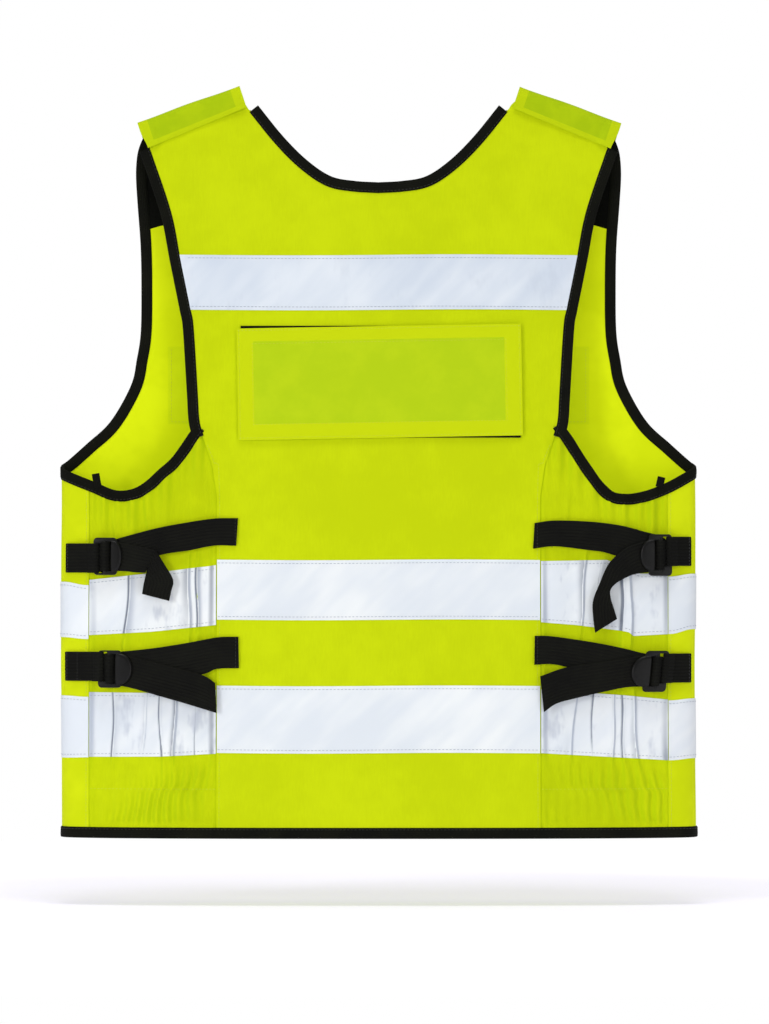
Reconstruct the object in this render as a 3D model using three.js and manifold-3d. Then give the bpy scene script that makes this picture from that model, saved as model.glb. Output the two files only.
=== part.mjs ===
// High-visibility vest with side adjusters, seen hanging upright as if on a hanger.
// Units are millimetres. +Z is up, -Y is the wearer's back, +X is the wearer's right.
// Heights are drawn from the hem and the whole vest is lowered by the shoulder height at the end,
// so the origin is the point between the shoulders that a hanger's hook stands over.
import * as THREE from 'three';
import { mergeVertices } from 'three/addons/utils/BufferGeometryUtils.js';
import Module from 'manifold-3d';

const wasm = await Module();
wasm.setup();

// ---- Body form ----
const halfWidth = 265; // from the centre to the side fold
const hemHalfDepth = 36; // half the front-to-back depth at the hem
const topHalfDepth = 4; // the same at the shoulder fold
const sectionPower = 2.5; // 2 is an ellipse, more is boxier
const shoulderHeight = 624; // shoulder fold above the hem, at its neck end
const shoulderSlope = Math.atan(0.33); // fall of the shoulder fold towards the arm
const neckHalf = 101; // half the neck opening at the shoulder
const underarmHeight = 300; // above this the back and the front part

// ---- Cloth layers, measured outwards from the inner face of the main cloth ----
const cloth = 1; // main cloth
const gap = 0.3; // between any two pieces
const tape = 0.5; // reflective tape
const webbing = 1.4;
const bindingOver = 0.9; // how far edge binding stands over each face of the cloth
const bindingWidth = 9;

// ---- Places on the body ----
const backPanelHalf = 135; // seam between the back panel and a side panel
const wrapEdge = 242; // front cloth that comes round the side fold ends here on the back
const hingeAtHem = 130; // fold line of a front leaf, at the hem
const hingeAtTop = 112; // and at the neck
const yokeHeight = 511; // lower edge of the black front yoke
const frontNeckHeight = 430; // lowest point of the front neckline
const bands = {
  back: [[71, 127], [182, 232]],
  side: [[68, 121], [170, 221]],
  front: [[66, 118], [166, 213]],
  chest: [441, 487],
};
const zipTapeWidth = 6.4;
const zipToothWidth = 2.1;
const pocket = { inner: 126, outer: 176, low: 346, high: 408, thickness: 2 };

// Curves were drawn for these two sizes, and follow the ones above when they change.
const drawnHalfWidth = 265;
const drawnShoulderHeight = 624;
const upperStretch = (shoulderHeight - underarmHeight) / (drawnShoulderHeight - underarmHeight);
const outerStretch = (halfWidth - 200) / (drawnHalfWidth - 200);
const fit = ([x, z]) => [
  Math.abs(x) > 200 ? Math.sign(x) * (200 + (Math.abs(x) - 200) * outerStretch) : x,
  z > underarmHeight ? underarmHeight + (z - underarmHeight) * upperStretch : z,
];
const fitX = (x) => fit([x, 0])[0];
const fitZ = (z) => fit([0, z])[1];

// ---- Materials ----
const finish = (name, color, roughness, metalness = 0) =>
  new THREE.MeshStandardMaterial({ name, color, roughness, metalness });
const yellow = finish('yellow_cloth', 0xc6d90f, 0.85);
const tabYellow = finish('double_cloth', 0xb4d216, 0.85);
const silver = finish('reflective_tape', 0xe2e8f2, 0.35, 0.2);
const black = finish('black_binding', 0x191a14, 0.8);
const blackCloth = finish('black_cloth', 0x14150f, 0.95);
const webbingBlack = finish('webbing', 0x151510, 0.8);
const plastic = finish('black_plastic', 0x1c1c1c, 0.45);
const hook = finish('hook_and_loop', 0x11110f, 1);

// ---- Solids: from three.js geometry to manifold-3d and back ----
function solid(geometry) {
  const bare = geometry.clone();
  bare.deleteAttribute('normal');
  bare.deleteAttribute('uv');
  const merged = mergeVertices(bare, 1e-4);
  return new wasm.Manifold(new wasm.Mesh({
    numProp: 3,
    vertProperties: merged.attributes.position.array,
    triVerts: new Uint32Array(merged.index.array),
  }));
}

function piece(name, made, material, parent = vest) {
  const out = made.getMesh();
  const geometry = new THREE.BufferGeometry();
  geometry.setAttribute('position', new THREE.BufferAttribute(out.vertProperties, 3));
  geometry.setIndex(new THREE.BufferAttribute(out.triVerts, 1));
  const mesh = new THREE.Mesh(geometry, material);
  mesh.name = name;
  parent.add(mesh);
  return mesh;
}

// ---- The body surface ----
// Upright lines at set places round the vest. 0 is the back's centre, `fold` the side fold and
// `front` the front's centre; negative numbers are the wearer's left.
const lineX = [0, 40, 80, 120, 160, 200, fitX(225), fitX(wrapEdge), fitX(252), fitX(259),
  fitX(263.5), halfWidth];
const fold = lineX.length - 1;
const front = 2 * fold;
const wrapLine = lineX.indexOf(fitX(wrapEdge));
const rows = [0, 60, 120, 180, 240, 300, 360, 420, 480, 540, 600, 640].map(fitZ);

const shoulderFold = (x) =>
  shoulderHeight - Math.tan(shoulderSlope) * Math.max(0, Math.abs(x) - neckHalf);

// Half depth of the body at a place: straight from the hem to the shoulder fold.
function halfDepth(x, z) {
  const round = (1 - Math.min(1, Math.abs(x) / halfWidth) ** sectionPower) ** (1 / sectionPower);
  return round * (topHalfDepth + (hemHalfDepth - topHalfDepth) * (1 - z / shoulderFold(x)));
}

function onLine(k, z) {
  if (Math.abs(k) > front) return onLine(k - Math.sign(k) * 2 * front, z);
  const step = Math.abs(k);
  const x = Math.sign(k) * lineX[step > fold ? front - step : step];
  return new THREE.Vector2(x, (step > fold ? 1 : -1) * halfDepth(x, z));
}

function lift(k, z, t) {
  const along = onLine(k + 1, z).sub(onLine(k - 1, z)).normalize();
  const at = onLine(k, z);
  return new THREE.Vector3(at.x + along.y * t, at.y - along.x * t, z);
}

// A sheet of cloth from line kFrom to line kTo, between the offsets tIn and tOut.
function sheet(kFrom, kTo, tIn, tOut) {
  const columns = kTo - kFrom;
  const last = rows.length - 1;
  const position = [];
  for (let i = 0; i <= columns; i++)
    for (const z of rows)
      for (const t of [tIn, tOut]) position.push(...lift(kFrom + i, z, t).toArray());
  const at = (i, j, layer) => (i * rows.length + j) * 2 + layer;
  const index = [];
  const quad = (a, b, c, d) => index.push(a, b, c, a, c, d);
  for (let i = 0; i < columns; i++) {
    for (let j = 0; j < last; j++) {
      quad(at(i, j, 1), at(i + 1, j, 1), at(i + 1, j + 1, 1), at(i, j + 1, 1));
      quad(at(i, j, 0), at(i, j + 1, 0), at(i + 1, j + 1, 0), at(i + 1, j, 0));
    }
    quad(at(i, 0, 0), at(i + 1, 0, 0), at(i + 1, 0, 1), at(i, 0, 1));
    quad(at(i, last, 0), at(i, last, 1), at(i + 1, last, 1), at(i + 1, last, 0));
  }
  for (let j = 0; j < last; j++) {
    quad(at(0, j, 0), at(0, j, 1), at(0, j + 1, 1), at(0, j + 1, 0));
    quad(at(columns, j, 0), at(columns, j + 1, 0), at(columns, j + 1, 1), at(columns, j, 1));
  }
  const geometry = new THREE.BufferGeometry();
  geometry.setAttribute('position', new THREE.Float32BufferAttribute(position, 3));
  geometry.setIndex(index);
  return solid(geometry);
}

// ---- Outlines in the X-Z plane, cut through the body along Y ----
const through = 150;
function prism(points, yFrom = -through, yTo = through) {
  const shape = new THREE.Shape(points.map(([x, z]) => new THREE.Vector2(x, z)));
  const geometry = new THREE.ExtrudeGeometry(shape, { depth: yTo - yFrom, bevelEnabled: false });
  geometry.rotateX(Math.PI / 2);
  geometry.translate(0, yTo, 0);
  return solid(geometry);
}
const box = (x0, x1, z0, z1, yFrom, yTo) =>
  prism([[x0, z0], [x1, z0], [x1, z1], [x0, z1]], yFrom, yTo);

// A smooth line through points, and the same line moved sideways (to its left when positive).
function smooth(points, steps = 24) {
  const route = points.map(fit).map(([x, z]) => new THREE.Vector2(x, z));
  return new THREE.SplineCurve(route).getPoints(steps).map((p) => [p.x, p.y]);
}
function beside(path, distance) {
  return path.map(([x, z], i) => {
    const before = path[Math.max(0, i - 1)];
    const after = path[Math.min(path.length - 1, i + 1)];
    const run = Math.hypot(after[0] - before[0], after[1] - before[1]);
    return [x - (after[1] - before[1]) / run * distance, z + (after[0] - before[0]) / run * distance];
  });
}
const ribbon = (path, from, to) => [...beside(path, from), ...beside(path, to).reverse()];
const mirror = (side, points) => points.map(([x, z]) => [side * x, z]);
// The point where a path first crosses a height (axis 1) or a distance from the centre (axis 0).
function crossing(path, value, axis) {
  const i = path.findIndex((p, n) => n > 0 && (p[axis] - value) * (path[n - 1][axis] - value) <= 0);
  const [a, b] = [path[i - 1], path[i]];
  const share = (value - a[axis]) / (b[axis] - a[axis]);
  return [a[0] + (b[0] - a[0]) * share, a[1] + (b[1] - a[1]) * share];
}

// Edges of the right half, each from the bottom up or from the centre out.
const backArmEdge = smooth([[157, 340], [159, 352], [160, 370], [163.5, 425], [166, 440],
  [174.5, 482], [182, 520], [200, 572], [205, 585]]);
const underarmEdge = smooth([[157, 339.4], [172, 318], [184, 307], [195, 297], [206, 291],
  [220, 290], [236, 296.5], [250, 302], [266, 308.5], [276, 312]]);
const frontArmEdge = smooth([[276, 301.5], [265.4, 311], [245, 329], [225, 348], [208, 378],
  [203, 400], [199.6, 423], [199, 460], [199.6, 495], [202, 529], [203, 557], [201, 575],
  [199, 584]], 32);
const backNeckEdge = smooth([[0, 547.8], [20, 549], [40, 553], [60, 566.5], [80, 586.5],
  [neckHalf, 612.5]], 14);
const frontNeckEdge = smooth([[0, frontNeckHeight - 6], [24, 462], [52, 512], [80, 572],
  [neckHalf, 618]], 14);
const hingeX = (z) => hingeAtHem + (hingeAtTop - hingeAtHem) * z / shoulderHeight;
const hemTop = bindingWidth + gap;
const inner = bindingWidth + gap;

const neckLow = frontNeckEdge[2][1] - bindingWidth; // the neck binding's lower edge at the zip
const zipTop = neckLow - 6;

const seat = new THREE.Group();
const vest = new THREE.Group();
seat.position.z = -shoulderHeight;
seat.add(vest);

// ---- Back panel, its neck binding, bands and armhole bindings ----
const strapTop = 13; // the cloth ends this far below the fold, and the shoulder strap goes on
const backArmInner = beside(backArmEdge, inner)
  .filter(([x, z]) => z < shoulderFold(x) - strapTop - 6);
const backCorner = backArmInner.at(-1)[0];
const backHalf = [[0, hemTop], [backPanelHalf, hemTop], [backPanelHalf, underarmHeight - 15],
  [139, fitZ(312)], [backArmInner[0][0] - 0.8, fitZ(335)],
  ...backArmInner, [backCorner, shoulderFold(backCorner) - strapTop],
  [109.5, shoulderFold(109.5) - strapTop],
  ...beside(backNeckEdge, -inner).reverse()];
const backOutline = [...backHalf, ...mirror(-1, backHalf.slice(1, -1)).reverse()];
const backCut = prism(backOutline);
piece('back_panel', sheet(-5, 5, 0, cloth).intersect(backCut), yellow);

const tapeIn = cloth + gap;
const tapeOut = tapeIn + tape;
bands.back.forEach(([low, high], i) => {
  const cut = box(-backPanelHalf, backPanelHalf, low, high);
  piece(['back_hem_band', 'back_waist_band'][i], sheet(-4, 4, tapeIn, tapeOut).intersect(cut), silver);
});
const chestCut = box(-220, 220, fitZ(bands.chest[0]), fitZ(bands.chest[1])).intersect(backCut);
piece('back_chest_band', sheet(-5, 5, tapeIn, tapeOut).intersect(chestCut), silver);

const overIn = -bindingOver;
const overOut = cloth + bindingOver;
const neckRibbon = [...mirror(-1, ribbon(backNeckEdge.slice(1), 0, -bindingWidth)
  .slice(0, backNeckEdge.length - 1)).reverse(), ...backNeckEdge,
...beside(backNeckEdge, -bindingWidth).reverse(),
...mirror(-1, beside(backNeckEdge, -bindingWidth).slice(1))];
piece('back_neck_binding', sheet(-3, 3, overIn, overOut).intersect(prism(neckRibbon)), black);

// ---- Pieces that come in a left and a right ----
for (const [side, name] of [[-1, 'left'], [1, 'right']]) {
  // Sheets are named by their lines on the right, and turned round for the left.
  const half = (kFrom, kTo, tIn, tOut) =>
    side > 0 ? sheet(kFrom, kTo, tIn, tOut) : sheet(-kTo, -kFrom, tIn, tOut);
  const cut = (points, yFrom, yTo) => prism(mirror(side, points), yFrom, yTo);
  const slab = (x0, x1, z0, z1, yFrom, yTo) =>
    cut([[x0, z0], [x1, z0], [x1, z1], [x0, z1]], yFrom, yTo);
  const beyond = fitX(drawnHalfWidth + 20);
  const justOver = 0.002; // lets the two halves of a cutter join

  // Side panel with its gathers and the elastic in its hem.
  const sideTop = beside(underarmEdge, -inner);
  const sideIn = backPanelHalf + gap;
  const sideOut = fitX(wrapEdge) - gap;
  const sideCut = cut([[sideIn, hemTop], [sideOut, hemTop], ...sideTop.filter(([x]) => x < sideOut)
    .reverse(), [sideTop[0][0] - 0.1, sideTop[0][1] - 1], [139.4, fitZ(310)],
  [sideIn, underarmHeight - 16]]);
  piece(`side_panel_${name}`, half(3, wrapLine, 0, cloth).intersect(sideCut), yellow);
  piece(`hem_elastic_${name}`, half(3, wrapLine, -1.5, -gap)
    .intersect(slab(sideIn + 4, sideOut - 4, 14, 38)), webbingBlack);
  bands.side.forEach(([low, high], i) => {
    const band = half(3, wrapLine, tapeIn, tapeOut).intersect(slab(sideIn, sideOut, low, high));
    piece(`side_${['hem', 'waist'][i]}_band_${name}`, band, silver);
  });

  // Front side: from the leaf's fold line, round the side fold, to its edge on the back.
  const wrapTop = sideTop.filter(([x]) => x > sideOut - 12).reverse();
  const wrapCut = cut([[wrapTop.at(-1)[0], hemTop], [beyond, hemTop], [beyond, wrapTop[0][1]],
    ...wrapTop], -through, justOver);
  const armInner = beside(frontArmEdge, inner);
  const yokeZ = fitZ(yokeHeight);
  const armLow = [...armInner.filter(([, z]) => z < yokeZ - gap), crossing(armInner, yokeZ - gap / 2, 1)];
  const armHigh = [crossing(armInner, yokeZ + gap / 2, 1),
    ...armInner.filter(([x, z]) => z > yokeZ + gap && z < shoulderFold(x) - 6)];
  const hinge = (z, clear) => [hingeX(z) + clear, z];
  const frontCut = cut([hinge(hemTop, gap), [beyond, hemTop], ...armLow,
    hinge(yokeZ - gap / 2, gap)], 0, through);
  piece(`front_side_${name}`,
    half(wrapLine, front - 2, 0, cloth).intersect(wrapCut.add(frontCut)), yellow);
  bands.front.forEach(([low, high], i) => {
    const wrapBand = slab(fitX(wrapEdge), beyond, low, high, -through, justOver);
    const rest = cut([hinge(low, gap), [beyond, low], [beyond, high], hinge(high, gap)], 0, through);
    piece(`front_${['hem', 'waist'][i]}_band_${name}`,
      half(wrapLine, front - 2, tapeIn, tapeOut).intersect(wrapBand.add(rest)), silver);
  });
  piece(`chest_pocket_${name}`, half(front - 5, front - 2, tapeIn, tapeIn + pocket.thickness)
    .intersect(slab(pocket.inner, pocket.outer, fitZ(pocket.low), fitZ(pocket.high), 0, through)),
  yellow);
  const yokeCut = cut([hinge(yokeZ + gap / 2, gap), ...armHigh,
    hinge(shoulderFold(hingeAtTop) - 3, gap)], 0, through);
  piece(`front_yoke_${name}`, half(front - 6, front - 2, 0, cloth).intersect(yokeCut), blackCloth);

  // Armhole binding: the back's edge, and one tape under the arm, round the fold and up the front.
  // Both end below the shoulder fold.
  const armTop = 5;
  const underShoulder = cut([[0, 0], [beyond, 0], [beyond, shoulderFold(beyond) - armTop],
    [neckHalf, shoulderHeight - armTop], [0, shoulderHeight - armTop]]);
  const edging = (kFrom, kTo) => half(kFrom, kTo, overIn, overOut);
  piece(`back_arm_binding_${name}`, edging(3, 6)
    .intersect(cut(ribbon(backArmEdge.slice(0, -2), 0, bindingWidth)))
    .intersect(underShoulder), black);
  const armRoute = cut(ribbon(underarmEdge, 0, -bindingWidth), -through, justOver)
    .add(cut(ribbon(frontArmEdge, 0, bindingWidth), 0, through));
  piece(`front_arm_binding_${name}`, edging(3, front - 2).intersect(armRoute)
    .intersect(underShoulder), black);

  // Shoulder strap: up from the back, over the fold, and its flap down the front.
  const shoulder = new THREE.Group();
  const strapMiddle = 160;
  const strapLength = 90;
  shoulder.position.set(side * strapMiddle, 0, shoulderFold(strapMiddle));
  shoulder.rotation.y = side * shoulderSlope;
  vest.add(shoulder);
  // Solids across the strap are drawn as a section (Y, Z) and run along it.
  const acrossStrap = (section, length) => {
    const shape = new THREE.Shape(section.map(([y, z]) => new THREE.Vector2(y, z)));
    const geometry = new THREE.ExtrudeGeometry(shape, { depth: length, bevelEnabled: false });
    geometry.applyMatrix4(new THREE.Matrix4().makeBasis(new THREE.Vector3(0, 1, 0),
      new THREE.Vector3(0, 0, 1), new THREE.Vector3(1, 0, 0)));
    geometry.translate(-length / 2, 0, 0);
    return solid(geometry);
  };
  const splay = (hemHalfDepth - topHalfDepth) / shoulderHeight; // the faces part downwards
  const face = topHalfDepth + cloth + bindingOver + gap;
  const backLeg = 20;
  const strapSection = [[-face - splay * backLeg, -backLeg], [-face, -1], [-face + 1, gap],
    [face, gap], [face, gap + cloth + 0.4], [-face, gap + cloth + 0.4], [-face - cloth - 0.4, -0.5],
    [-face - cloth - 0.4 - splay * backLeg, -backLeg]];
  piece(`shoulder_strap_${name}`, acrossStrap(strapSection, strapLength), tabYellow, shoulder);
  const flapLeg = 55;
  const flapTop = -1.5;
  const flapOut = 2.4; // the flap lies over the hook patch
  // The flap's inner edge is cut upright, so that it stays clear of the leaf's fold line.
  shoulder.updateMatrix();
  const besideLeaf = slab(hingeAtTop + 6, beyond, shoulderHeight - 3 * flapLeg, shoulderHeight + 20,
    -through, through).transform(shoulder.matrix.clone().invert().elements);
  const legSection = (near, far, top, bottom) => [[face + near - splay * bottom, bottom],
    [face + far - splay * bottom, bottom], [face + far, top], [face + near, top]];
  piece(`shoulder_flap_${name}`,
    acrossStrap(legSection(flapOut, flapOut + cloth, flapTop, -flapLeg), strapLength)
      .intersect(besideLeaf), yellow, shoulder);
  piece(`flap_hook_patch_${name}`,
    acrossStrap(legSection(gap + 0.6, flapOut - gap, -18, -flapLeg + 4), strapLength - 14)
      .intersect(besideLeaf.translate([side * 4, 0, 0])), hook, shoulder);

  // Front leaf: everything inboard of the fold line, edged with one tape round neck, front and hem.
  const leafIn = gap + zipToothWidth + zipTapeWidth + gap;
  const leafCloth = leafIn + inner;
  const neckInner = beside(frontNeckEdge, -inner);
  const leafEdge = neckInner.filter(([x, z]) => x > leafCloth + 2 && x < hingeX(z) - 2);
  const leafCut = cut([[leafCloth, hemTop], hinge(hemTop, -gap), hinge(leafEdge.at(-1)[1], -gap),
    ...leafEdge.reverse(), crossing(neckInner, leafCloth, 0)]);
  piece(`front_leaf_${name}`, half(front - 4, front, 0, cloth).intersect(leafCut), yellow);
  bands.front.forEach(([low, high], i) => {
    const leafBand = cut([[leafCloth, low], hinge(low, -gap), hinge(high, -gap), [leafCloth, high]]);
    piece(`leaf_${['hem', 'waist'][i]}_band_${name}`,
      half(front - 4, front, tapeIn, tapeOut).intersect(leafBand), silver);
  });
  const bindingTop = shoulderHeight - 16;
  const leafLimit = cut([[gap, zipTop + gap], [leafIn, zipTop + gap], [leafIn, 0],
    hinge(0, -gap), hinge(bindingTop, -gap), [gap, bindingTop]]);
  const leafRoute = cut(ribbon(frontNeckEdge, 0, -bindingWidth))
    .add(slab(leafIn, leafIn + bindingWidth, 0, neckLow + bindingWidth, 0, through))
    .add(slab(leafIn, hingeAtHem, 0, bindingWidth, 0, through));
  piece(`leaf_binding_${name}`,
    half(front - 4, front, overIn, overOut).intersect(leafRoute).intersect(leafLimit), black);
  piece(`zip_${name}`, half(front - 1, front, 0, 0.8)
    .intersect(slab(zipToothWidth / 2, leafIn - gap, hemTop, zipTop, 0, through))
    .add(half(front - 1, front, -0.6, 1.4)
      .intersect(slab(gap, gap + zipToothWidth, hemTop, zipTop, 0, through))), webbingBlack);
}

// ---- Hem binding round the back, the sides and the front up to the fold lines ----
const hemCut = box(-halfWidth - 20, halfWidth + 20, 0, bindingWidth, -through, 0.01)
  .add(box(hingeX(0) + gap, halfWidth + 20, 0, bindingWidth, 0, through))
  .add(box(-halfWidth - 20, -hingeX(0) - gap, 0, bindingWidth, 0, through));
piece('hem_binding', sheet(-front + 2, front - 2, overIn, overOut).intersect(hemCut), black);

// ---- Identification panel and the black loop field behind it ----
const panel = { width: 237.6, height: 93.4, x: 1, below: 60.5, turn: THREE.MathUtils.degToRad(1) };
const field = { width: 234, height: 93.5, x: 1.7, rise: 0.3 }; // rise: its centre above the panel's
const panelThickness = 1.2;
const lean = Math.atan((hemHalfDepth - topHalfDepth) / shoulderHeight);
const idGroup = new THREE.Group();
const panelZ = fitZ(bands.chest[0]) - panel.below;
idGroup.position.set(0, -halfDepth(0, panelZ) - cloth - gap, panelZ);
idGroup.rotation.x = -lean;
vest.add(idGroup);
const backing = new THREE.BoxGeometry(field.width, cloth, field.height);
backing.translate(field.x, -cloth / 2, field.rise);
piece('id_loop_field', solid(backing), hook, idGroup);
const plate = new THREE.BoxGeometry(panel.width, panelThickness, panel.height);
plate.rotateY(-panel.turn);
plate.translate(panel.x, -cloth - gap - panelThickness / 2, 0);
piece('id_panel', solid(plate), tabYellow, idGroup);

// ---- Side adjusters: a sewn strap, a loose tail, an anchor and a ladder-lock buckle ----
const strapWidth = 25;
const strapIn = tapeOut + gap + 0.1;
const strapOut = strapIn + webbing;
const overTail = strapOut + gap;
const adjusters = {
  upper_left: { side: -1, buckleAt: [237, 235], sewn: [118, 256],
    run: [[150, 252.5], [184, 247], [222, 235]],
    anchor: 233.5, tail: [[211, 246], [187, 242], [171, 215], [174, 197.5], [196, 202.5],
      [194, 221], [211, 221]] },
  lower_left: { side: -1, buckleAt: [233, 141], sewn: [118, 155],
    run: [[138, 154.5], [165, 149], [190, 144], [222, 142]],
    anchor: 143, tail: [[208, 154], [185, 148], [149, 137], [136, 130], [136, 104.5],
      [158, 113], [182, 118], [208, 126]] },
  upper_right: { side: 1, buckleAt: [244, 236], sewn: [130, 252], run: [[155, 250], [184, 246], [222, 238]],
    anchor: 239.5, tail: [[211, 250], [196, 246], [184, 226], [179.6, 172.5], [198.5, 181.5],
      [202, 215], [211, 224]] },
  lower_right: { side: 1, buckleAt: [240, 139], sewn: [130, 156],
    run: [[150, 153], [175, 148], [195, 145], [222, 143]],
    anchor: 144, tail: [[208, 155], [185, 149], [149, 139], [135.5, 134], [135.5, 105],
      [158, 113], [182, 119], [208, 128]] },
};
const buckle = { height: 32, depth: 21, bar: 3, thickness: 3.2, tab: 6, lift: 1.4 };

for (const [name, { side, buckleAt, sewn, run, anchor, tail }] of Object.entries(adjusters)) {
  const strip = (kFrom, kTo, tIn, tOut) =>
    side > 0 ? sheet(kFrom, kTo, tIn, tOut) : sheet(-kTo, -kFrom, tIn, tOut);
  const centre = [[sewn[0], sewn[1]], ...run];
  const webbingCut = prism(mirror(side, ribbon(smooth(centre, 10), -strapWidth / 2, strapWidth / 2)),
    -through, 0);
  const tailCut = prism(mirror(side, tail.map(fit)), -through, 0);
  piece(`strap_${name}`, strip(2, wrapLine, strapIn, strapOut).intersect(webbingCut)
    .add(strip(3, wrapLine, strapOut - 0.1, strapOut + webbing).intersect(tailCut)), webbingBlack);
  const anchorCut = box(...[side * fitX(236), side * fitX(260)].sort((a, b) => a - b),
    anchor - strapWidth / 2, anchor + strapWidth / 2, -through, 0);
  piece(`strap_anchor_${name}`, strip(6, fold - 1, strapIn, strapOut).intersect(anchorCut),
    webbingBlack);

  // The buckle lies on the cloth: its X runs towards the centre and its Y outwards.
  const [buckleX, buckleZ] = fit(buckleAt);
  const at = (x) => new THREE.Vector2(x, -halfDepth(x, buckleZ));
  const bucklePoint = at(buckleX);
  const along = at(buckleX - 24).sub(bucklePoint).normalize();
  const seatPoint = bucklePoint.clone().add(new THREE.Vector2(-along.y, along.x)
    .multiplyScalar(overTail + buckle.lift));
  const frameGroup = new THREE.Group();
  frameGroup.scale.x = side; // the left buckle is the right one mirrored
  const rightFrame = new THREE.Group();
  rightFrame.position.set(seatPoint.x, seatPoint.y, buckleZ);
  rightFrame.rotation.z = Math.atan2(along.y, along.x);
  frameGroup.add(rightFrame);
  vest.add(frameGroup);
  const { height, depth, bar, thickness, tab } = buckle;
  const block = (x0, x1, z0, z1, y0, y1) => {
    const made = new THREE.BoxGeometry(x1 - x0, y1 - y0, z1 - z0);
    made.translate((x0 + x1) / 2, (y0 + y1) / 2, (z0 + z1) / 2);
    return solid(made);
  };
  const window = (depth - 3 * bar) / 2;
  const opening = height / 2 - bar;
  const thumb = new THREE.CylinderGeometry(height / 2 - 3, height / 2 - 3, thickness * 0.6, 20);
  thumb.scale(tab / (height / 2 - 3), 1, 1);
  thumb.translate(depth, thickness * 0.7, 0);
  const frame = block(0, depth, -height / 2, height / 2, 0, thickness)
    .subtract(block(bar, bar + window, -opening, opening, -1, thickness + 1))
    .subtract(block(2 * bar + window, depth - bar, -opening, opening, -1, thickness + 1))
    .add(solid(thumb));
  piece(`buckle_${name}`, frame, plastic, rightFrame);
}

// ---- Zip slider on the right row of teeth, and its pull ----
const sliderHeight = 12;
const sliderTop = zipTop - 1;
const zipY = halfDepth(0, sliderTop - sliderHeight / 2);
const sliderGroup = new THREE.Group();
sliderGroup.position.set(gap, zipY, sliderTop - sliderHeight / 2);
sliderGroup.rotation.x = lean;
vest.add(sliderGroup);
const sliderWidth = 5;
const pinRadius = 0.8;
const pinAt = { y: 5.4, z: 2.5 };
const alongX = (shape, x0, x1) => {
  const geometry = new THREE.ExtrudeGeometry(shape, { depth: x1 - x0, bevelEnabled: false,
    curveSegments: 6 });
  geometry.applyMatrix4(new THREE.Matrix4().makeBasis(new THREE.Vector3(0, 1, 0),
    new THREE.Vector3(0, 0, 1), new THREE.Vector3(1, 0, 0)));
  geometry.translate(x0, 0, 0);
  return solid(geometry);
};
const polygon = (points) => new THREE.Shape(points.map(([y, z]) => new THREE.Vector2(y, z)));
const bridge = polygon([[3, -1.5], [6, -1.5], [7.4, 0], [7.4, 4.5], [6, 5.5], [3, 5.5]]);
bridge.holes.push(new THREE.Path().absarc(pinAt.y, pinAt.z, pinRadius + gap, 0, 2 * Math.PI, true));
const sliderPlate = new THREE.BoxGeometry(sliderWidth, 1.6, sliderHeight);
sliderPlate.translate(sliderWidth / 2, 2.6, 0);
piece('zip_slider', solid(sliderPlate).add(alongX(bridge, 1.8, 3.2)), plastic, sliderGroup);
const ear = polygon([[pinAt.y - 1.2, -6], [pinAt.y + 1.2, -6], [pinAt.y + 1.2, 3.5], [pinAt.y, 4.2],
  [pinAt.y - 1.2, 3.5]]);
const pin = new THREE.CylinderGeometry(pinRadius, pinRadius, 4, 10);
pin.rotateZ(Math.PI / 2);
pin.translate(2.5, pinAt.y, pinAt.z);
const pullPlate = new THREE.BoxGeometry(5, 1.6, 24);
pullPlate.translate(2.5, pinAt.y, -17);
piece('zip_pull', alongX(ear, 0.1, 1.4).add(alongX(ear, 3.6, 4.9)).add(solid(pin))
  .add(solid(pullPlate)), plastic, sliderGroup);

export default seat;
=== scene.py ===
"""High-visibility vest: cloth, tape, binding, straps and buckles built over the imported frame."""

import math

import bmesh
import bpy
import numpy as np
from mathutils import Matrix, Vector
from mathutils.geometry import delaunay_2d_cdt


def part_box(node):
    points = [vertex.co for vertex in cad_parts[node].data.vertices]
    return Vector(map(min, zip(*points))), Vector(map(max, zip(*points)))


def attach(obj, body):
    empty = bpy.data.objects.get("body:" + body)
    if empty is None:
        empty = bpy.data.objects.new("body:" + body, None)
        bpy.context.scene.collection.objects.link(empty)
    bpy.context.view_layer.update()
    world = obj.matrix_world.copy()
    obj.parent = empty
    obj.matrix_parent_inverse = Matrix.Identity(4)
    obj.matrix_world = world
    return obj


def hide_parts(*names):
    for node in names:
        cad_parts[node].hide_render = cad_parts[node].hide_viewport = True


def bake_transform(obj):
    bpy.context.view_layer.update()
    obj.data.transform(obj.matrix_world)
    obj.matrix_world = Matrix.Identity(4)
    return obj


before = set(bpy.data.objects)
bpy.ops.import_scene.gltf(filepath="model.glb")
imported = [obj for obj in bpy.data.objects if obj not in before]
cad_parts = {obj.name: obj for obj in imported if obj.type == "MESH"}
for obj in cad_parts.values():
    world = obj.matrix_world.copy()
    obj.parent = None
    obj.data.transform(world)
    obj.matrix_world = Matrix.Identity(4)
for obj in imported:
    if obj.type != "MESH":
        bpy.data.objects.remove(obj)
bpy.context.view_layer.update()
scene = bpy.context.scene

# Sizes are in millimetres until a mesh is made. Heights are above the hem.
HALF_WIDTH, HEM_DEPTH, TOP_DEPTH, SECTION = 265.0, 36.0, 4.0, 2.5
SHOULDER, NECK_HALF, FALL = 624.0, 101.0, 0.33
GIRTH_DEPTH = 22  # half the depth of the section that girth is measured along
CLOTH = 1.0
TAPE_IN, TAPE_OUT = 1.05, 1.5
BACK_HALF, WRAP = 135.0, 242.0
YOKE = 511.0
SIDES = {"left": -1, "right": 1}
BAND_ROWS, LINE_STEP = 14, 2.5  # points across a tape, and the spacing of points under stitches
BACK_BANDS = {"back_hem_band": (71, 127), "back_waist_band": (182, 232)}
CHEST_BAND = (441, 487)
HINGE_X, HINGE_LEAN = 130, 18  # the front's fold line at the hem, and how far it leans in by the shoulder

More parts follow.
